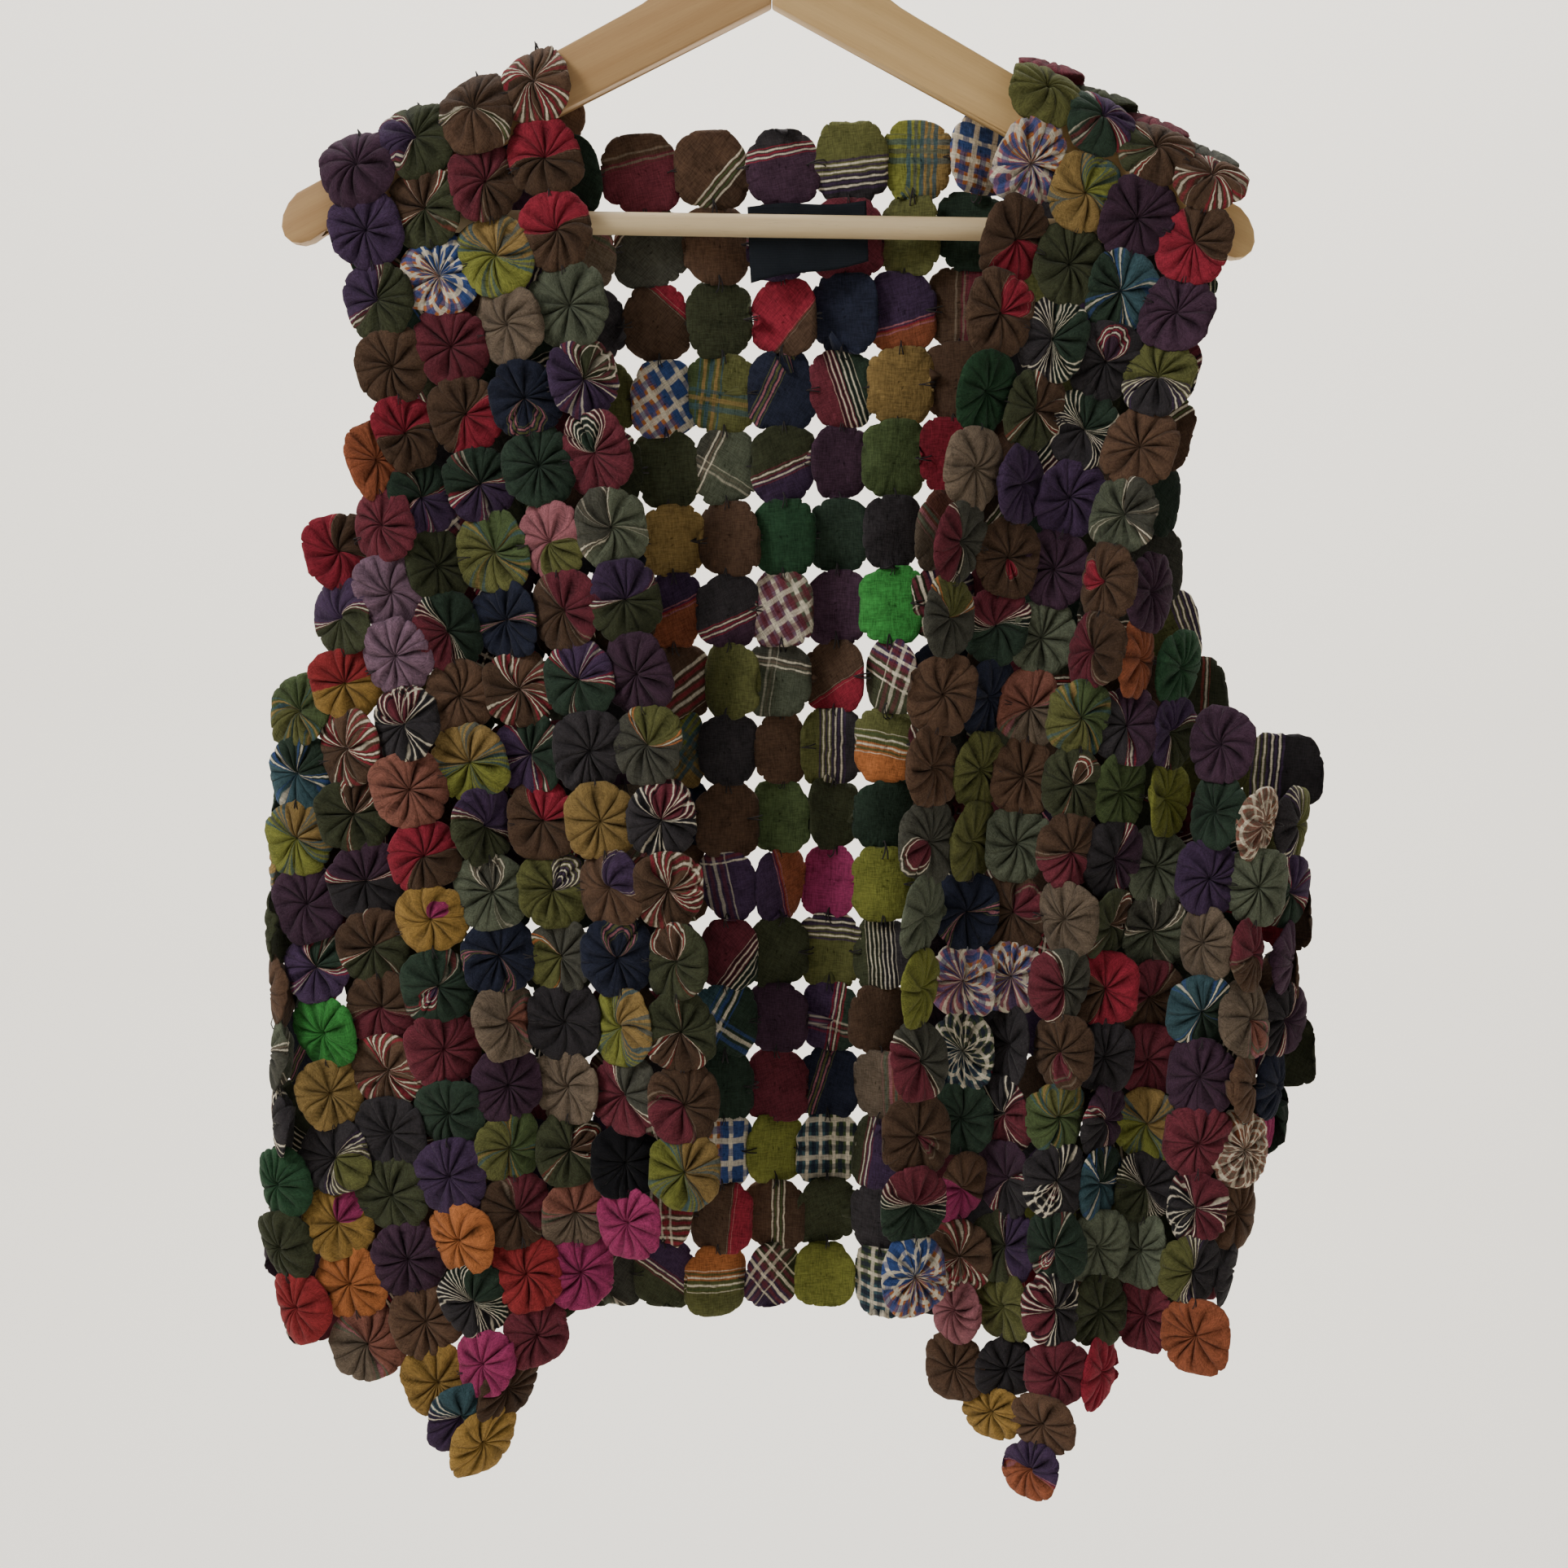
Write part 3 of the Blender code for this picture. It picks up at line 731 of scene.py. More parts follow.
# %% The whole group
def hanging_group():
    tree, given = group_with_inputs(
        "hang_rosettes",
        (
            ("Samples", "NodeSocketCollection", None),
            ("Cloth", "NodeSocketMaterial", None),
            ("Gap to wood", "NodeSocketFloat", 2.4 * MM),
            ("Thickness", "NodeSocketFloat", 1.0),
            ("Squares across", "NodeSocketFloat", 6.0),
        ),
    )
    pick = tree.add(
        "GeometryNodeCollectionInfo",
        {},
        {"Collection": given["Samples"], "Separate Children": True, "Reset Children": True},
    )
    copies = tree.add(
        "GeometryNodeInstanceOnPoints",
        {},
        {
            "Points": given["Geometry"],
            "Instance": pick,
            "Pick Instance": True,
            "Instance Index": named(tree, "sample", "INT"),
            "Rotation": tree.vector(0.0, 0.0, named(tree, "spin", "FLOAT")),
        },
    )
    real = tree.add("GeometryNodeRealizeInstances", {}, {"Geometry": copies})
    here = tree.add("GeometryNodeInputPosition", {}, {})
    local = here - named(tree, "middle")
    spot = clear_of_wood(tree, disc_surface(tree, local), given["Gap to wood"])
    lifted = named(tree, "facing") + named(tree, "over") * local.part("Y").over(0.0)
    lifted = tree.add("ShaderNodeVectorMath", {"operation": "NORMALIZE"}, {0: lifted})
    spot = spot + lifted * (local.part("Z") * given["Thickness"])
    moved = tree.add("GeometryNodeSetPosition", {}, {"Geometry": real, "Position": spot})
    flat = (named(tree, "OFBake") + named(tree, "square")) * (1.0 / given["Squares across"])
    mapped = tree.add(
        "GeometryNodeStoreNamedAttribute",
        {"data_type": "FLOAT2", "domain": "CORNER"},
        {"Geometry": moved, "Name": "OFBake", "Value": flat},
    )
    dressed = tree.add(
        "GeometryNodeSetMaterial", {}, {"Geometry": mapped, "Material": given["Cloth"]}
    )
    tree.add("NodeGroupOutput", {}, {"Geometry": dressed}, None)
    return tree.made


hang_rosettes = hanging_group()
print("nodes in the hanging group:", len(hang_rosettes.nodes))

# %% [markdown]
# ## The cotton
#
# The rosettes are cut from worn sarongs: mostly dark plain cotton, with a border of thin
# light stripes where one ground meets another, and now and then a plaid. A print on the
# flat circle is drawn in the circle's own millimetres, so it runs round the rim to the
# outside and breaks up in the gathers by itself. One material serves every rosette, and
# attributes tell it the two grounds, the two lines and where the border lies.

# %% Dyes and cloths
DYES = {
    "moss": (58, 62, 44),
    "ash": (70, 70, 62),
    "charcoal": (50, 47, 50),
    "bark": (74, 56, 44),
    "walnut": (86, 64, 50),
    "aubergine": (64, 44, 60),
    "maroon": (98, 42, 52),
    "crimson": (132, 35, 50),
    "red": (138, 43, 46),
    "rust": (136, 74, 50),
    "clay": (126, 78, 66),
    "mustard": (126, 102, 58),
    "ochre": (142, 110, 54),
    "olive": (88, 90, 50),
    "lime": (108, 112, 48),
    "fern": (68, 82, 50),
    "forest": (42, 56, 46),
    "emerald": (40, 68, 47),
    "grass": (52, 132, 58),
    "teal": (54, 80, 88),
    "royal": (48, 70, 124),
    "navy": (36, 40, 56),
    "plum": (62, 46, 72),
    "mauve": (108, 82, 100),
    "rose": (142, 84, 92),
    "magenta": (140, 44, 86),
    "orange": (166, 96, 52),
    "taupe": (102, 88, 74),
    "sage": (82, 88, 72),
    "cream": (196, 186, 164),
    "black": (26, 26, 30),
}
PLAIN = (
    "moss charcoal bark walnut aubergine maroon forest navy taupe sage fern olive lime mustard "
    "ochre clay rust orange red crimson magenta rose mauve plum emerald grass black"
).split()
# ground, other ground, light line, dark line, half border and line spacing in mm, cross
CLOTHS = {
    **{name: (name, name, "cream", "black", 0, 2, 0) for name in PLAIN},
    "moss_plum": ("moss", "plum", "cream", "maroon", 2.6, 2.3, 0),
    "ash_maroon": ("ash", "maroon", "cream", "bark", 2.0, 2.2, 0),
    "forest_plum": ("forest", "plum", "cream", "crimson", 3.4, 2.6, 0.5),
    "bark_crimson": ("bark", "crimson", "cream", "crimson", 1.0, 2.4, 0),
    "crimson_bark": ("crimson", "bark", "cream", "bark", 0.8, 2.0, 0),
    "maroon_forest": ("maroon", "forest", "cream", "black", 5.5, 2.2, 0),
    "moss_ticking": ("moss", "charcoal", "cream", "black", 7.0, 2.0, 0),
    "walnut_forest": ("walnut", "bark", "fern", "cream", 3.0, 2.6, 0),
    "charcoal_crimson": ("charcoal", "aubergine", "cream", "crimson", 2.4, 2.2, 0),
    "olive_plaid": ("olive", "fern", "mustard", "teal", 5.0, 5.0, 0.8),
    "olive_stripe": ("olive", "charcoal", "cream", "plum", 6.0, 2.6, 0),
    "lime_teal": ("lime", "mustard", "sage", "teal", 6.5, 5.5, 0.8),
    "blue_plaid": ("orange", "royal", "cream", "royal", 30.0, 7.0, 0.8),
    "teal_plaid": ("teal", "fern", "cream", "navy", 30.0, 6.0, 0.7),
    "plum_plaid": ("plum", "moss", "cream", "maroon", 8.0, 5.2, 0.6),
    "rose_plaid": ("rose", "orange", "cream", "royal", 30.0, 8.0, 0.7),
    "taupe_rose": ("taupe", "clay", "sage", "rose", 4.0, 4.4, 0),
    "sage_cream": ("sage", "ash", "cream", "taupe", 2.6, 2.8, 0.4),
    "ochre_magenta": ("ochre", "magenta", "ochre", "magenta", 0.4, 2.0, 0),
    "orange_olive": ("orange", "olive", "cream", "fern", 4.5, 3.0, 0),
    "red_ochre": ("red", "ochre", "cream", "rust", 0.5, 2.0, 0),
    "navy_red": ("navy", "navy", "rose", "olive", 3.0, 3.0, 0),
    "moss_red": ("moss", "bark", "cream", "red", 2.2, 2.4, 0.5),
    "plum_orange": ("plum", "rust", "rose", "crimson", 1.6, 2.4, 0),
    "grey_orange": ("ash", "olive", "orange", "cream", 2.5, 3.0, 0),
    "brown_plaid": ("bark", "walnut", "cream", "crimson", 9.0, 4.0, 0.7),
    "dark_check": ("charcoal", "maroon", "cream", "black", 8.0, 3.4, 1.0),
    "coral_plaid": ("clay", "rust", "cream", "taupe", 30.0, 5.0, 0.6),
    "mauve_plaid": ("mauve", "sage", "cream", "maroon", 30.0, 7.0, 0.7),
    "green_blue": ("forest", "teal", "cream", "royal", 5.0, 5.0, 0.7),
    "rose_olive": ("rose", "olive", "cream", "olive", 1.0, 2.4, 0),
    "walnut_plum": ("walnut", "plum", "cream", "plum", 1.0, 2.0, 0),
    "plum_teal": ("plum", "teal", "cream", "navy", 6.0, 3.0, 0),
    "ticking": ("charcoal", "forest", "cream", "black", 14.0, 2.4, 0),
    "magenta_walnut": ("magenta", "walnut", "cream", "magenta", 0.8, 2.0, 0),
    "maroon_lines": ("bark", "maroon", "taupe", "bark", 3.0, 3.2, 0),
}
# how often each cloth comes up by chance
COMMON = {
    "moss": 10, "charcoal": 11, "bark": 7, "aubergine": 6, "forest": 5, "maroon": 5,
    "walnut": 4, "navy": 2, "ash_maroon": 8, "moss_plum": 10, "forest_plum": 9,
    "bark_crimson": 4, "maroon_forest": 6, "moss_ticking": 6, "walnut_forest": 7,
    "charcoal_crimson": 9, "olive_plaid": 3, "olive_stripe": 5, "lime_teal": 1,
    "plum_plaid": 4, "taupe": 2, "sage": 3, "sage_cream": 4, "taupe_rose": 2, "mustard": 1,
    "olive": 3, "fern": 3, "maroon_lines": 6, "brown_plaid": 4, "green_blue": 3,
    "dark_check": 3, "moss_red": 5, "plum": 4, "plum_orange": 2, "navy_red": 3,
}
WASHED, GAMMA = 0.14, 2.2  # the share of grey in a worn dye, and of a screen's colours


def dye(name):
    """A dye as the linear colour that a material needs, a little faded by washing."""
    grey = sum(DYES[name]) / 3
    worn = [(0.86 * value + WASHED * grey) / 255 for value in DYES[name]]
    return [value**GAMMA for value in worn] + [1.0]


print("cloths:", len(CLOTHS), "dyes:", len(DYES))

# %% [markdown]
# ## Rosettes that stand out
#
# Most rosettes get their cloth by chance, from a fixed seed, so that the mixture is right
# without listing it. The few that give this vest its character are listed: panel,
# strip, row, cloth, the direction in degrees from the first ground to the other as seen
# from the front, and how far the border lies from the middle of the circle in mm. A plain
# rosette needs only its cloth.

# %% The named rosettes
STANDOUTS = """
R 0 1 crimson_bark -90 2 | R 0 2 crimson_bark -90 -2 | R 0 3 sage | R 0 6 sage_cream 150 8
R 0 7 moss_plum 100 4 | R 0 8 aubergine | R 0 9 grey_orange 60 10 | R 0 10 dark_check 60 10
R 0 11 brown_plaid 40 12 | R 0 12 moss_red 110 16 | R 0 15 lime_teal 20 0 | R 1 2 lime_teal 60 4
R 1 6 rose_olive -60 12 | R 1 7 maroon_lines 30 0 | R 1 8 forest_plum 60 6 | R 1 9 charcoal
R 1 10 mustard | R 1 11 walnut_plum 40 14 | R 1 13 lime_teal 20 6 | R 1 15 black | R 1 16 magenta
R 2 1 moss_red 120 4 | R 2 2 blue_plaid 30 0 | R 2 3 maroon | R 2 5 forest_plum -80 2
R 2 6 olive_plaid 40 4 | R 2 7 navy_red -90 2 | R 2 8 brown_plaid 30 6 | R 2 9 forest_plum 200 2
R 2 10 bark_crimson 60 12 | R 2 11 olive_stripe 45 22 | R 2 12 grey_orange 200 10 | R 2 14 taupe
R 2 15 moss_red 30 18 | R 2 16 taupe_rose 90 0 | R 2 17 magenta | R 3 0 aubergine
R 3 4 crimson_bark -90 0 | R 3 5 forest_plum -80 0 | R 3 6 moss | R 3 7 maroon_forest 20 -4
R 3 8 walnut | R 3 9 lime_teal 90 0 | R 3 10 moss_plum 60 0 | R 3 11 sage_cream 90 18
R 3 15 olive_plaid 0 0 | R 3 16 maroon_lines 30 4 | R 3 17 red | R 3 18 maroon | R 3 19 bark
R 3 20 ochre | R 4 4 rust | R 4 5 maroon | R 4 6 mauve | R 4 7 mauve | R 4 8 dark_check 90 12
R 4 9 clay | R 4 10 crimson_bark -70 8 | R 4 11 ochre_magenta 30 22 | R 4 13 maroon
R 4 16 orange | R 4 17 ticking 30 0 | R 4 18 magenta | R 4 19 plum_teal 60 0
R 5 6 moss_plum 90 0 | R 5 7 red_ochre -90 0 | R 5 8 brown_plaid 60 6 | R 5 9 moss_red 60 16
R 5 10 charcoal_crimson 80 4 | R 5 11 moss_red 100 0 | R 5 15 moss | R 5 17 walnut | R 5 18 ochre
R 6 9 lime_teal 45 4 | R 6 10 aubergine | R 6 12 grass | R 6 15 ochre_magenta 40 18
R 6 16 orange | R 6 17 taupe_rose 20 -4 | R 7 9 lime_teal 30 4 | R 7 14 emerald | R 7 16 red
L 0 0 olive | L 0 1 rose_plaid 80 0 | L 0 2 bark_crimson -60 10 | L 0 3 bark_crimson 60 16
L 0 4 emerald | L 0 5 taupe | L 0 6 ash_maroon 200 6 | L 0 7 grey_orange 80 10 | L 0 12 lime
L 0 16 blue_plaid 120 4 | L 1 3 ticking 20 0 | L 1 4 moss_red 40 8 | L 1 8 navy
L 1 12 rose_plaid 40 18 | L 1 13 teal_plaid 60 0 | L 1 15 magenta_walnut 60 0 | L 1 17 rose
L 1 18 walnut | L 2 2 green_blue 30 0 | L 2 4 ticking 70 0 | L 2 5 plum | L 2 12 rose_plaid 100 12
L 2 17 olive | L 2 18 charcoal | L 2 19 ochre | L 3 0 brown_plaid 20 4 | L 3 1 crimson_bark 60 6
L 3 2 aubergine | L 3 3 olive_stripe -80 8 | L 3 4 walnut | L 3 5 sage_cream 30 8
L 3 9 moss_red 60 20 | L 3 18 maroon | L 3 19 walnut | L 3 20 plum_orange -90 4 | L 4 6 aubergine
L 4 7 rust | L 4 18 crimson | L 5 7 emerald | L 5 9 lime | L 5 14 lime_teal 60 -2 | L 5 17 maroon
L 6 16 olive_stripe 0 0 | L 6 17 rust | L 7 9 coral_plaid 20 10 | L 7 10 sage
L 7 12 taupe_rose -60 16 | L 7 14 coral_plaid 40 0 | L 8 14 magenta | L 8 15 grass
B 6 2 maroon_lines -80 -6 | B 7 2 walnut_forest -45 6 | B 8 2 charcoal_crimson -80 -6
B 9 2 olive_stripe -85 4 | B 10 2 lime_teal 0 2 | B 11 2 blue_plaid 80 0 | B 7 3 walnut
B 10 3 olive | B 11 3 forest | B 6 4 bark_crimson 45 10 | B 7 4 moss | B 8 4 crimson_bark -45 6
B 9 4 navy | B 10 4 plum_orange -75 5 | B 11 4 maroon_lines 0 0 | B 6 5 blue_plaid 30 0
B 7 5 olive_plaid 170 6 | B 8 5 navy_red 150 5 | B 9 5 maroon_forest 20 2 | B 10 5 mustard
B 11 5 walnut | B 6 6 moss | B 7 6 sage_cream 150 8 | B 8 6 moss_plum -70 2 | B 9 6 aubergine
B 10 6 fern | B 11 6 crimson | B 6 7 mustard | B 7 7 walnut | B 8 7 emerald | B 9 7 forest
B 10 7 charcoal | B 6 8 plum_orange -70 0 | B 7 8 charcoal_crimson -70 5 | B 8 8 mauve_plaid 30 6
B 9 8 aubergine | B 10 8 grass | B 7 9 olive | B 8 9 sage_cream 80 6 | B 9 9 bark_crimson -60 4
B 7 10 charcoal | B 8 10 walnut | B 9 10 olive_stripe 0 0 | B 10 10 orange_olive 80 0
B 7 11 walnut | B 8 11 fern | B 8 12 plum_orange 20 0 | B 9 12 magenta | B 10 12 lime
B 10 13 moss_ticking 10 0 | B 7 14 green_blue 150 4 | B 9 15 navy_red 160 4
B 10 15 taupe_rose 0 6 | B 7 16 blue_plaid 0 0 | B 8 16 lime | B 9 16 teal_plaid 0 0
B 8 17 walnut_forest 0 2 | B 6 18 moss_plum 60 0 | B 7 18 orange_olive -90 0
B 8 18 plum_plaid 45 0 | B 9 18 lime | B 10 18 teal_plaid 85 0
"""
PANELS = {"R": "right_front_strip", "L": "left_front_strip", "B": "back_strip"}
WHOLLY_ONE = (0, 99)  # a plain cloth needs no direction, and its border lies off the circle
named_cloths = {}
for entry in STANDOUTS.replace("\n", "|").split("|"):
    words = entry.split()
    if words:
        key = (PANELS[words[0]], int(words[1]), int(words[2]))
        angle, shift = words[4:] or WHOLLY_ONE
        named_cloths[key] = (words[3], math.radians(float(angle)), float(shift))
print("named rosettes:", len(named_cloths), "missing:", [k for k in named_cloths if k not in SPOTS])

# %% A cloth for every rosette
# FADES is a random washed tone of each dye; the second number darkens back rosettes behind a front,
# as painted shade.
FADES, PAINTED_SHADE_BEHIND = (0.82, 1.12), 0.55
chance = np.random.default_rng(17)
weights = np.array(list(COMMON.values()), float)
weights /= weights.sum()


def cloth_of(key):
    """The cloth's name, its direction and its border, by hand or by chance."""
    angle, shift = chance.uniform(0, 2 * math.pi), chance.uniform(-12, 24)
    name = list(COMMON)[int(chance.choice(len(COMMON), p=weights))]
    return named_cloths.get(key, (name, angle, shift))


def print_of(key, spin):
    """The attributes that draw a rosette's cloth."""
    name, angle, shift = cloth_of(key)
    ground, other, light, dark, half, spacing, cross = CLOTHS[name]
    seen = math.pi - angle if key[0] == "back_strip" else angle
    turn = seen - spin
    fade = chance.uniform(*FADES)
    # A back rosette behind a front is darkened as painted shade.
    if covered(key):
        fade *= PAINTED_SHADE_BEHIND
    return {
        "ground": [c * fade for c in dye(ground)],
        "other": [c * fade for c in dye(other)],
        "light": dye(light),
        "dark": dye(dark),
        "direction": (math.cos(turn), math.sin(turn), shift),
        "border": (half, spacing, cross),
        "lot": chance.uniform(0, 500),
    }


print("cloths that come up by chance:", len(COMMON))

# %% [markdown]
# ## The cotton's nodes
#
# Two straight borders, one along and one across, are drawn over the grounds. Slubs in
# the yarn lighten and darken it along both threads. Creases are darker, partly for dust and
# partly as painted shade in the folds. The weave itself is bump, far too fine to model.

# %% The material
def attribute(tree, name, out):
    return tree.add("ShaderNodeAttribute", {"attribute_name": name}, {}, out)


def new_material(name, colour, roughness):
    made = bpy.data.materials.new(name)
    made.use_nodes = True
    tree = Tree(made.node_tree)
    shader = made.node_tree.nodes["Principled BSDF"]
    shader.inputs["Base Color"].default_value = (*colour, 1.0)
    shader.inputs["Roughness"].default_value = roughness
    made.diffuse_color = (*colour, 1.0)
    return made, tree, shader


def feed(tree, shader, name, wire):
    tree.made.links.new(wire.socket, shader.inputs[name])


def lines(u, spacing, width):
    """1 on evenly spaced thin lines across u."""
    phase = abs(u.tree.math("FRACT", u / spacing) - 0.5) * spacing
    return ((width - phase) * 3.0 + 0.5).clamped()


def noise(tree, place, scale, detail=2.0):
    sockets = {"Vector": place, "Scale": scale, "Detail": detail}
    return tree.add("ShaderNodeTexNoise", {}, sockets, "Fac")


def cotton():
    made, tree, shader = new_material("gathered_cotton", (0.06, 0.05, 0.045), 0.92)
    place, way = attribute(tree, "cloth", "Vector"), attribute(tree, "direction", "Vector")
    border, lot = attribute(tree, "border", "Vector"), attribute(tree, "lot", "Fac")
    x, y, cos, sin = place.part("X"), place.part("Y"), way.part("X"), way.part("Y")
    wander = (noise(tree, place + tree.vector(lot, 0.0, 0.0), 0.16) - 0.5) * 1.6
    u = x * cos + y * sin - way.part("Z") + wander
    v = y * cos - x * sin + wander
    half, spacing, cross = border.part("X"), border.part("Y"), border.part("Z")
    ground = tree.mix(
        (u * 4.0 + 0.5).clamped(),
        attribute(tree, "ground", "Color"),
        attribute(tree, "other", "Color"),
    )
    light, dark = attribute(tree, "light", "Color"), attribute(tree, "dark", "Color")
    inside = ((half - abs(u)) * 4.0).clamped()
    crossing = ((half * 0.9 - abs(v + 4.0)) * 4.0).clamped() * cross
    for place_over, band in ((u, inside), (v * 0.8, crossing)):
        between = lines(place_over + spacing * 0.5, spacing, 0.16 * spacing)
        ground = tree.mix(between * band * 0.85, ground, dark)
        ground = tree.mix(lines(place_over, spacing, 0.13 * spacing) * band, ground, light)
    warp = noise(tree, tree.vector(u * 0.3, v * 2.2, lot), 1.0) - 0.5
    weft = noise(tree, tree.vector(u * 2.2, v * 0.3, lot + 40.0), 1.0) - 0.5
    worn = noise(tree, tree.vector(x * 0.12, y * 0.12, lot), 1.0) - 0.5
    shade = 1.0 + 1.25 * warp + 1.25 * weft + 0.9 * worn
    for east, north in ((0.9, 0.4), (-1.6, -0.7)):
        stitch = abs(x - east) + abs(y - north) * 0.45
        shade = shade * (0.25 + (stitch * 1.5).clamped() * 0.75)
    crease = attribute(tree, "crease", "Fac")
    # Creases are darkened as painted shade in the folds, with some dust; uncreased cloth is made a
    # little lighter.
    shade = shade * (1.14 - crease.clamped() * 1.04)
    feed(tree, shader, "Base Color", ground * shade)
    wrinkles = noise(tree, tree.vector(x * 0.5, y * 0.5, lot), 1.0, 4.0)
    height = wrinkles * 1.3 + warp * 0.5 + weft * 0.5
    bump = tree.add(
        "ShaderNodeBump", {}, {"Height": height, "Strength": 0.55, "Distance": 0.9 * MM}, "Normal"
    )
    feed(tree, shader, "Normal", bump)
    shader.inputs["Specular IOR Level"].default_value = 0.12
    shader.inputs["Sheen Weight"].default_value = 0.05
    shader.inputs["Sheen Roughness"].default_value = 0.5
    return made


gathered_cotton = cotton()
print("nodes in the cotton:", len(gathered_cotton.node_tree.nodes))

# %% [markdown]
# ## Sewing a strip
#
# A strip starts as loose points, one for each rosette, that carry every vector and dye
# as attributes. The group's inputs are set by identifier before the object is first
# evaluated, and the result is copied out as a plain mesh. The attributes that only
# placed the points are then dropped.

# %% Points with attributes
KINDS = {1: "FLOAT", 3: "FLOAT_VECTOR", 4: "FLOAT_COLOR"}
FIELDS = {1: "value", 3: "vector", 4: "color"}
PLACING = (
    "middle", "right", "top", "pull_east", "pull_west", "pull_above", "pull_below", "bows",
    "facing", "over", "spin", "sample", "square",
)


def store(mesh, name, values):
    """One attribute on the points, from a list of numbers or of vectors."""
    size = len(values[0]) if hasattr(values[0], "__len__") else 1
    kind = "INT" if isinstance(values[0], int) else KINDS[size]
    made = mesh.attributes.new(name, kind, "POINT")
    flat = [n for v in values for n in v] if size > 1 else values
    made.data.foreach_set(FIELDS[size], flat)


def strip_points(name, keys, squares):
    """Loose points at the middles of a strip's rosettes."""
    mesh = bpy.data.meshes.new(name + "_points")
    mesh.from_pydata([poses[key]["middle"] for key in keys], [], [])
    spins = [float(chance.uniform(0, 2 * math.pi)) for key in keys]
    prints = [print_of(key, spin) for key, spin in zip(keys, spins)]
    for label in poses[keys[0]]:
        store(mesh, label, [tuple(poses[key][label]) for key in keys])
    for label in prints[0]:
        store(mesh, label, [p[label] for p in prints])
    store(mesh, "spin", spins)
    store(mesh, "sample", [int(chance.integers(0, SAMPLES)) for key in keys])
    cells = [2 * i for i in range(len(keys))]
    store(mesh, "square", [(float(c % squares), float(c // squares), 0.0) for c in cells])
    return mesh


def carrier_of(data):
    """An object in the scene that carries a mesh or a curve while it is worked on."""
    carrier = bpy.data.objects.new("carrier", data)
    bpy.context.scene.collection.objects.link(carrier)
    return carrier


def taken_from(carrier, name):
    """The plain mesh of a carrier as it is evaluated. The carrier is removed."""
    bpy.context.view_layer.update()
    evaluated = carrier.evaluated_get(bpy.context.evaluated_depsgraph_get())
    made = bpy.data.meshes.new_from_object(evaluated)
    bpy.data.objects.remove(carrier)
    made.name = name
    return made


def run_group(name, mesh, group, values):
    """The plain mesh that a Geometry Nodes group makes from another mesh."""
    carrier = carrier_of(mesh)
    modifier = carrier.modifiers.new("nodes", "NODES")
    modifier.node_group = group
    for item in group.interface.items_tree:
        if item.item_type == "SOCKET" and item.name in values:
            modifier[item.identifier] = values[item.name]
    return taken_from(carrier, name)


def shown(name, mesh):
    """A finished piece at the origin, riding on the one body."""
    piece = bpy.data.objects.new(name, mesh)
    bpy.context.scene.collection.objects.link(piece)
    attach(piece, "root")
    return piece


print("attributes that only place:", len(PLACING))


def sew_strip(panel, column):
    keys = sorted(key for key in SPOTS if key[:2] == (panel, column))
    squares = 2 * math.ceil(math.sqrt(2 * len(keys)) / 2)
    name = f"{panel}_{column + 1:02d}"
    values = {
        "Samples": samples,
        "Cloth": gathered_cotton,
        "Squares across": float(squares),
    }
    mesh = run_group(name, strip_points(name, keys, squares), hang_rosettes, values)
    for label in PLACING:
        if label in mesh.attributes:
            mesh.attributes.remove(mesh.attributes[label])
    piece = shown(name + "_rosettes", mesh)
    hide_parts(name)
    return len(mesh.polygons)


faces = sum(sew_strip(panel, column) for panel, column in STRIPS)
print("faces in the rosettes:", faces)

# %% [markdown]
# ## The threads at the ties
#
# Neighbouring rosettes are held by a few whip stitches of dark thread. Each is a small
# loop of thread round both rims. A pair of loops is modelled once and copied to every
# tie by a second group, turned by an attribute so that it lies across the two rims.

# %% A pair of loops
LOOP_REACH, LOOP_HEIGHT, THREAD_RADIUS = 3.2, 2.5, 0.3


def thread_loops():
    """Two flattened rings of thread, closed, in one small mesh."""
    bm = bmesh.new()
    around, section = 8, 3
    for shift, tilt in ((-0.5, 0.14), (0.45, -0.2)):
        rings = []
        for i in range(around):
            angle = 2 * math.pi * i / around
            reach = LOOP_REACH * math.cos(angle)
            centre = Vector((reach, shift + tilt * reach, LOOP_HEIGHT * math.sin(angle)))
            out = Vector((math.cos(angle), 0, math.sin(angle)))
            ring = []
            for j in range(section):
                turn = 2 * math.pi * j / section
                round_it = out * math.cos(turn) + Vector((0, 1, 0)) * math.sin(turn)
                ring.append(bm.verts.new((centre + THREAD_RADIUS * round_it) * MM))
            rings.append(ring)
        for i in range(around):
            for j in range(section):
                a, b = rings[i], rings[(i + 1) % around]
                k = (j + 1) % section
                bm.faces.new((a[j], b[j], b[k], a[k]))
    bmesh.ops.recalc_face_normals(bm, faces=bm.faces)
    mesh = bpy.data.meshes.new("thread_loops")
    bm.to_mesh(mesh)
    bm.free()
    mesh.polygons.foreach_set("use_smooth", [True] * len(mesh.polygons))
    return mesh


loops = bpy.data.objects.new("thread_loops", thread_loops())
bpy.context.scene.collection.objects.link(loops)
print("faces in a pair of loops:", len(loops.data.polygons))

# %% The group that ties
LOOSE = 6.5  # a tie further than this from a rosette's plane holds nothing, and is left out
LOOP_SIZE = {"back_strip": 1.15, "front": 0.85}


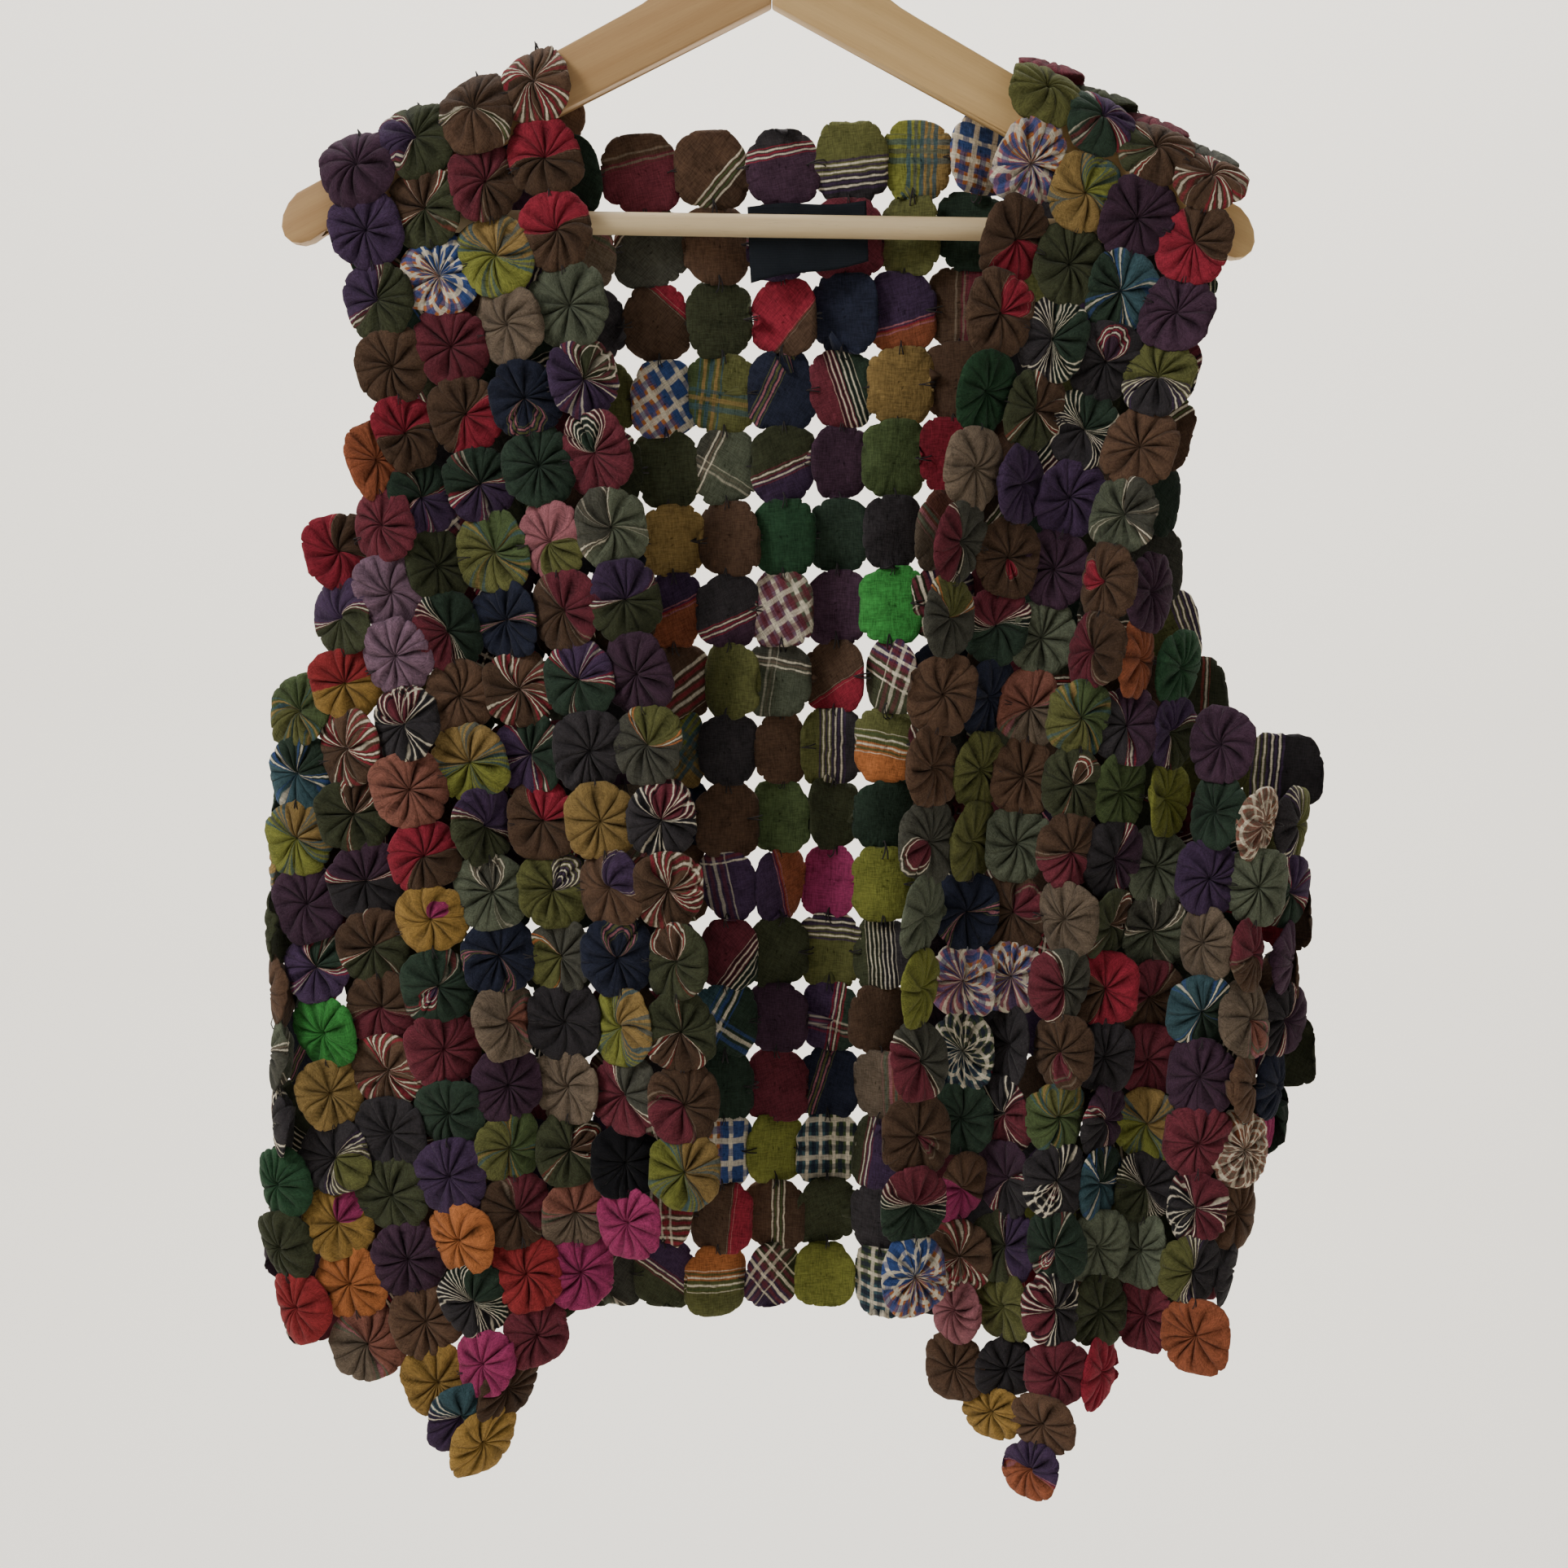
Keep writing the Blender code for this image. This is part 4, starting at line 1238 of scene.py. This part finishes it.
def tying_group():
    tree, given = group_with_inputs(
        "tie_threads",
        (
            ("Loops", "NodeSocketObject", None),
            ("Thread", "NodeSocketMaterial", None),
            ("Size", "NodeSocketFloat", 1.0),
        ),
    )
    shape = tree.add("GeometryNodeObjectInfo", {}, {"Object": given["Loops"]}, "Geometry")
    settings = {"data_type": "FLOAT"}
    grown = tree.add("FunctionNodeRandomValue", settings, {2: 0.8, 3: 1.25, "Seed": 5}, 1)
    copies = tree.add(
        "GeometryNodeInstanceOnPoints",
        {},
        {
            "Points": given["Geometry"],
            "Instance": shape,
            "Rotation": named(tree, "turn"),
            "Scale": tree.vector(1.0, 1.0, 1.0) * (grown * given["Size"]),
        },
    )
    real = tree.add("GeometryNodeRealizeInstances", {}, {"Geometry": copies})
    dressed = tree.add(
        "GeometryNodeSetMaterial", {}, {"Geometry": real, "Material": given["Thread"]}
    )
    tree.add("NodeGroupOutput", {}, {"Geometry": dressed}, None)
    return tree.made


def tie_places(panel):
    """Each tie of a panel once, with the turn that lays a loop across it."""
    found, adrift = {}, set()
    for key in sorted(SPOTS):
        if key[0] != panel:
            continue
        upper, lower = ((*key[:2], key[2] + step) in SPOTS for step in (-1, 1))
        tied = (beside(key, 1), beside(key, -1), upper or ridge(key), lower)
        middle, facing = poses[key]["middle"], poses[key]["facing"]
        for tie, arm, other in zip(ties(key), ("right", "right", "top", "top"), tied):
            if not other:
                continue
            label = tuple(round(value) for value in tie)
            if abs((tie * MM - middle).dot(facing)) > LOOSE * MM and not ridge(key):
                adrift.add(label)
            across = poses[key][arm].normalized()
            side = facing.cross(across).normalized()
            basis = Matrix((across, side, across.cross(side))).transposed()
            found.setdefault(label, (tie * MM, tuple(basis.to_euler())))
    return [place for label, place in found.items() if label not in adrift]


print("ties of the back:", len(tie_places("back_strip")))

# %% Every tie
dark_thread, tree, shader = new_material("dark_thread", (0.012, 0.01, 0.012), 0.8)
tint = noise(tree, tree.add("ShaderNodeTexCoord", {}, {}, "Object"), 900.0)
feed(tree, shader, "Base Color", tree.mix(tint, (0.006, 0.005, 0.007, 1), (0.035, 0.028, 0.03, 1)))
tie_threads = tying_group()
for panel in PANELS.values():
    places = tie_places(panel)
    points = bpy.data.meshes.new("ties")
    points.from_pydata([place for place, turn in places], [], [])
    store(points, "turn", [turn for place, turn in places])
    size = LOOP_SIZE.get(panel, LOOP_SIZE["front"])
    values = {"Loops": loops, "Thread": dark_thread, "Size": size}
    mesh = run_group("threads", points, tie_threads, values)
    shown(panel.replace("_strip", "_threads"), mesh)
    print(panel, "ties:", len(places), "faces:", len(mesh.polygons))
for ob in [loops, *samples.objects]:
    bpy.data.objects.remove(ob)
bpy.data.collections.remove(samples)

# %% [markdown]
# ## The hanger
#
# The arms are sawn from a board and rounded, so their grain runs along them. The solids
# already have the right shape. A copy with its points merged is shaded smooth except at
# sharp edges, which the plain solid can't be. The two arms are cut from different boards.

# %% Wood
def beech(name, pale, deep, slope, roughness=0.5):
    """Straight grain along a direction in the XZ plane, with pores and rays."""
    made, tree, shader = new_material(name, pale, roughness)
    place = tree.add("ShaderNodeTexCoord", {}, {}, "Object")
    x, y, z = place.part("X"), place.part("Y"), place.part("Z")
    length = math.hypot(1, slope)
    along = (x + z * slope) * (1 / length)
    over = (z - x * slope) * (1 / length)
    drift = noise(tree, tree.vector(along * 6.0, y * 20.0, over * 20.0), 1.0, 3.0)
    rings = tree.math("SINE", (over + y * 0.6 + drift * 0.018) * 620.0) * 0.5 + 0.5
    fine = noise(tree, tree.vector(along * 45.0, y * 1500.0, over * 1500.0), 1.0, 3.0)
    pores = noise(tree, tree.vector(along * 160.0, y * 2600.0, over * 2600.0), 1.0)
    flecks = ((pores - 0.66) * 7.0).clamped()
    share = (rings * 0.3 + fine * 0.7 + drift * 0.5 - 0.3).clamped()
    wood = tree.mix(share, (*pale, 1.0), (*deep, 1.0))
    wood = tree.mix(flecks * 0.45, wood, tuple(c * 0.45 for c in deep) + (1.0,))
    feed(tree, shader, "Base Color", wood)
    feed(tree, shader, "Roughness", roughness + fine * 0.15)
    bump = tree.add(
        "ShaderNodeBump", {}, {"Height": fine - flecks, "Strength": 0.15, "Distance": 0.3 * MM},
        "Normal",
    )
    feed(tree, shader, "Normal", bump)
    return made


print("the slope of the grain follows the arms:", ARM_SLOPE)

# %% Arms and bar
TIP_START, TIP_DROOP = 197.0, 0.42  # where an arm's tip starts to droop, and its slope
SHARP = math.radians(38)
MERGED = 0.01 * MM


def smoothed_copy(node, name, material, droop=0.0):
    """The plain solid's shape, merged, its tip drooping, smooth between its sharp edges."""
    bm = bmesh.new()
    bm.from_mesh(frame["nodes"][node].data)
    bmesh.ops.remove_doubles(bm, verts=bm.verts, dist=MERGED)
    for vert in bm.verts:
        beyond = max(0.0, abs(vert.co.x) - TIP_START * MM)
        vert.co.z -= droop * beyond
    for edge in bm.edges:
        edge.smooth = len(edge.link_faces) == 2 and edge.calc_face_angle() < SHARP
    for face in bm.faces:
        face.smooth = True
    mesh = bpy.data.meshes.new(name)
    bm.to_mesh(mesh)
    bm.free()
    mesh.materials.clear()
    mesh.materials.append(material)
    piece = shown(name, mesh)
    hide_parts(node)
    return piece


arm_left = beech("arm_wood_pale", (0.66, 0.45, 0.2), (0.52, 0.32, 0.13), -ARM_SLOPE)
arm_right = beech("arm_wood_warm", (0.55, 0.35, 0.16), (0.42, 0.24, 0.1), ARM_SLOPE)
bar_wood = beech("bar_wood", (0.76, 0.61, 0.38), (0.66, 0.49, 0.27), 0.0)
for node, material, droop in (
    ("hanger_arm_left", arm_left, TIP_DROOP),
    ("hanger_arm_right", arm_right, TIP_DROOP),
    ("trouser_bar", bar_wood, 0.0),
):
    piece = smoothed_copy(node, node + "_wood", material, droop)
    print(piece.name, "faces:", len(piece.data.polygons))

# %% [markdown]
# ## The hook
#
# The hook is bent from one length of zinc-plated wire. A curve with a round bevel is the
# plain way to make wire. Its route repeats the solid's, with more points on the bend.

# %% Bent wire
WIRE, HOOK_INSIDE = 3.8, 19.0  # the wire, and the radius of the rail space inside the hook
HOOK_SHANK = ((0, -84.0), (0, -66.0), (0, -53.0), (1.2, -47.5), (4.6, -42.8))
HOOK_START, HOOK_STEP, HOOK_STEPS = -55, 16, 16  # the bend, in degrees from +X
HOOK_END = (2.6, 4.2)  # how far the open end runs on, outwards and down


def hook_wire():
    """The hook as a closed mesh, with the rail's place at the origin."""
    radius = HOOK_INSIDE + WIRE / 2
    route = list(HOOK_SHANK)
    for step in range(HOOK_STEPS + 1):
        angle = math.radians(HOOK_START + HOOK_STEP * step)
        route.append((radius * math.cos(angle), radius * math.sin(angle) - HOOK_INSIDE))
    route.append((route[-1][0] - HOOK_END[0], route[-1][1] - HOOK_END[1]))
    curve = bpy.data.curves.new("hook", "CURVE")
    curve.dimensions = "3D"
    spline = curve.splines.new("POLY")
    spline.points.add(len(route) - 1)
    for point, (x, z) in zip(spline.points, route):
        point.co = (x * MM, 0, z * MM, 1)
    curve.bevel_depth = WIRE / 2 * MM
    curve.bevel_resolution = 4
    curve.use_fill_caps = True
    mesh = taken_from(carrier_of(curve), "hook_wire")
    bm = bmesh.new()
    bm.from_mesh(mesh)
    bmesh.ops.remove_doubles(bm, verts=bm.verts, dist=MERGED)
    bmesh.ops.recalc_face_normals(bm, faces=bm.faces)
    for face in bm.faces:
        face.smooth = len(face.verts) == 4
    bm.to_mesh(mesh)
    bm.free()
    return mesh


zinc, tree, shader = new_material("zinc_wire", (0.62, 0.63, 0.64), 0.3)
shader.inputs["Metallic"].default_value = 1.0
place = tree.add("ShaderNodeTexCoord", {}, {}, "Object")
streaks = noise(tree, place, 420.0, 3.0)
feed(tree, shader, "Roughness", 0.2 + streaks * 0.25)
feed(tree, shader, "Base Color", tree.mix(streaks, (0.5, 0.51, 0.53, 1), (0.74, 0.74, 0.73, 1)))
mesh = hook_wire()
mesh.materials.clear()
mesh.materials.append(zinc)
hook = shown("hook_wire", mesh)
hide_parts("wire_hook")
print("hook faces:", len(mesh.polygons))

# %% [markdown]
# ## The label
#
# A woven label lies on the inside of the back, caught at its two ends. It is blank here.
# It is a small sheet with folded ends, so a grid with a wall is enough.

# %% Woven label
LABEL_TILT, LABEL_FORWARD, CORNER_DROP = math.radians(3.5), 5.0, 7.0


def label_mesh():
    """A grid in the place of the plain label, wavy, with one corner lower."""
    low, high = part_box("neck_label")
    middle = (low + high) / 2
    width, height = high.x - low.x, high.z - low.z
    bm = bmesh.new()
    bmesh.ops.create_grid(bm, x_segments=40, y_segments=20, size=0.5)
    for vert in bm.verts:
        across, up = vert.co.x, vert.co.y
        bow = 0.7 * math.sin(across * 6.0) * (0.6 - up) + 0.35 * math.sin(across * 19 + up * 4)
        cos, sin = math.cos(LABEL_TILT), math.sin(LABEL_TILT)
        sideways, upward = across * width, up * height
        upward -= 0.8 * MM * math.sin(across * math.pi * 2.2)
        upward -= CORNER_DROP * MM * (0.5 - across) * (0.5 - up)
        vert.co = Vector(
            (
                middle.x + sideways * cos - upward * sin,
                middle.y + (bow - LABEL_FORWARD) * MM,
                middle.z + upward * cos + sideways * sin,
            )
        )
    mesh = bpy.data.meshes.new("label")
    bm.to_mesh(mesh)
    bm.free()
    mesh.polygons.foreach_set("use_smooth", [True] * len(mesh.polygons))
    return mesh


print("the label leans by", round(math.degrees(LABEL_TILT), 1), "degrees")

# %% Damask
damask, tree, shader = new_material("label_damask", (0.008, 0.011, 0.014), 0.75)
shader.inputs["Specular IOR Level"].default_value = 0.15
place = tree.add("ShaderNodeTexCoord", {}, {}, "Object")
x, z = place.part("X"), place.part("Z")
ribs = tree.math("SINE", z * 9000.0) * 0.5 + 0.5
yarn = noise(tree, tree.vector(x * 1800.0, 0.0, z * 500.0), 1.0)
share = ribs * 0.4 + yarn * 0.6
dark, pale = (0.003, 0.005, 0.008, 1), (0.013, 0.017, 0.024, 1)
feed(tree, shader, "Base Color", tree.mix(share, dark, pale))
bump = tree.add(
    "ShaderNodeBump", {}, {"Height": share, "Strength": 0.4, "Distance": 0.2 * MM}, "Normal"
)
feed(tree, shader, "Normal", bump)
carrier = carrier_of(label_mesh())
wall = carrier.modifiers.new("wall", "SOLIDIFY")
wall.thickness = 0.7 * MM
wall.offset = 0.0
mesh = taken_from(carrier, "label_sheet")
mesh.materials.append(damask)
label = shown("neck_label_woven", mesh)
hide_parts("neck_label")
print("label faces:", len(mesh.polygons))

# %% [markdown]
# ## Camera, floor and light
#
# The camera stands a little above the middle of the vest and looks slightly down. The
# floor is far below and curves up far behind, so that it stays out of every view's way.

# %% Camera
LOOKS_DOWN, ROLLED = 6, 0.9  # degrees
camera_data = bpy.data.cameras.new("camera")
camera_data.sensor_width = 36.0
camera_data.lens = 54.7
camera = bpy.data.objects.new("camera", camera_data)
bpy.context.scene.collection.objects.link(camera)
camera.location = (0.011, -1.10, -0.340)
tilt = Matrix.Rotation(math.radians(90 - LOOKS_DOWN), 4, "X")
roll = Matrix.Rotation(math.radians(ROLLED), 4, "Z")
camera.rotation_euler = (tilt @ roll).to_euler()
bpy.context.scene.camera = camera
print("camera looks down by", LOOKS_DOWN, "degrees from", tuple(camera.location))

# %% Floor and light
FLOOR_DEPTH = 1.35  # metres under the hook


def sweep():
    """A floor that curves up into a far background on all sides."""
    bm = bmesh.new()
    profile = ((2.0, 0.0), (2.6, 0.05), (3.1, 0.25), (3.5, 0.7), (3.6, 1.4), (3.6, 2.4))
    rings = []
    for radius, height in profile:
        ring = []
        for step in range(48):
            angle = 2 * math.pi * step / 48
            ring.append(bm.verts.new((radius * math.cos(angle), radius * math.sin(angle), height)))
        rings.append(ring)
    bm.faces.new(rings[0])
    for lower, upper in zip(rings, rings[1:]):
        for step in range(48):
            k = (step + 1) % 48
            bm.faces.new((lower[step], upper[step], upper[k], lower[k]))
    for face in bm.faces:
        face.smooth = True
    for vert in bm.verts:
        vert.co.z -= FLOOR_DEPTH
    mesh = bpy.data.meshes.new("floor")
    bm.to_mesh(mesh)
    bm.free()
    return mesh


plaster, tree, shader = new_material("pale_floor", (0.82, 0.79, 0.735), 0.9)
floor = bpy.data.objects.new("floor", sweep())
floor.data.materials.append(plaster)
bpy.context.scene.collection.objects.link(floor)
floor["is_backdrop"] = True


def soft_light(name, place, aim_at, size, watts, colour):
    data = bpy.data.lights.new(name, "AREA")
    data.size = size
    data.energy = watts
    data.color = colour
    lamp = bpy.data.objects.new(name, data)
    bpy.context.scene.collection.objects.link(lamp)
    lamp.location = place
    lamp.rotation_euler = (Vector(aim_at) - Vector(place)).to_track_quat("-Z", "Y").to_euler()


middle = (0.0, 0.0, -0.4)
soft_light("window", (-1.7, -1.2, 1.0), middle, 0.8, 40, (1.0, 0.98, 0.95))
soft_light("fill", (1.5, -1.4, 0.1), middle, 1.6, 3, (0.97, 0.98, 1.0))
soft_light("backdrop", (0.0, 1.0, 1.6), (0.0, 3.6, -0.6), 2.0, 215, (1.0, 0.98, 0.95))
world = bpy.data.worlds.new("room")
world.use_nodes = True
world.node_tree.nodes["Background"].inputs["Color"].default_value = (0.9, 0.9, 0.88, 1)
world.node_tree.nodes["Background"].inputs["Strength"].default_value = 0.22
bpy.context.scene.world = world
print("camera and lights:", len(bpy.data.lights), "lights")

# %% [markdown]
# ## Measure and finish
#
# The finished vest should stay within a few millimetres of the plain solids' box.

# %% Sizes
low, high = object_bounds()
print("finished box:", tuple(low), tuple(high))
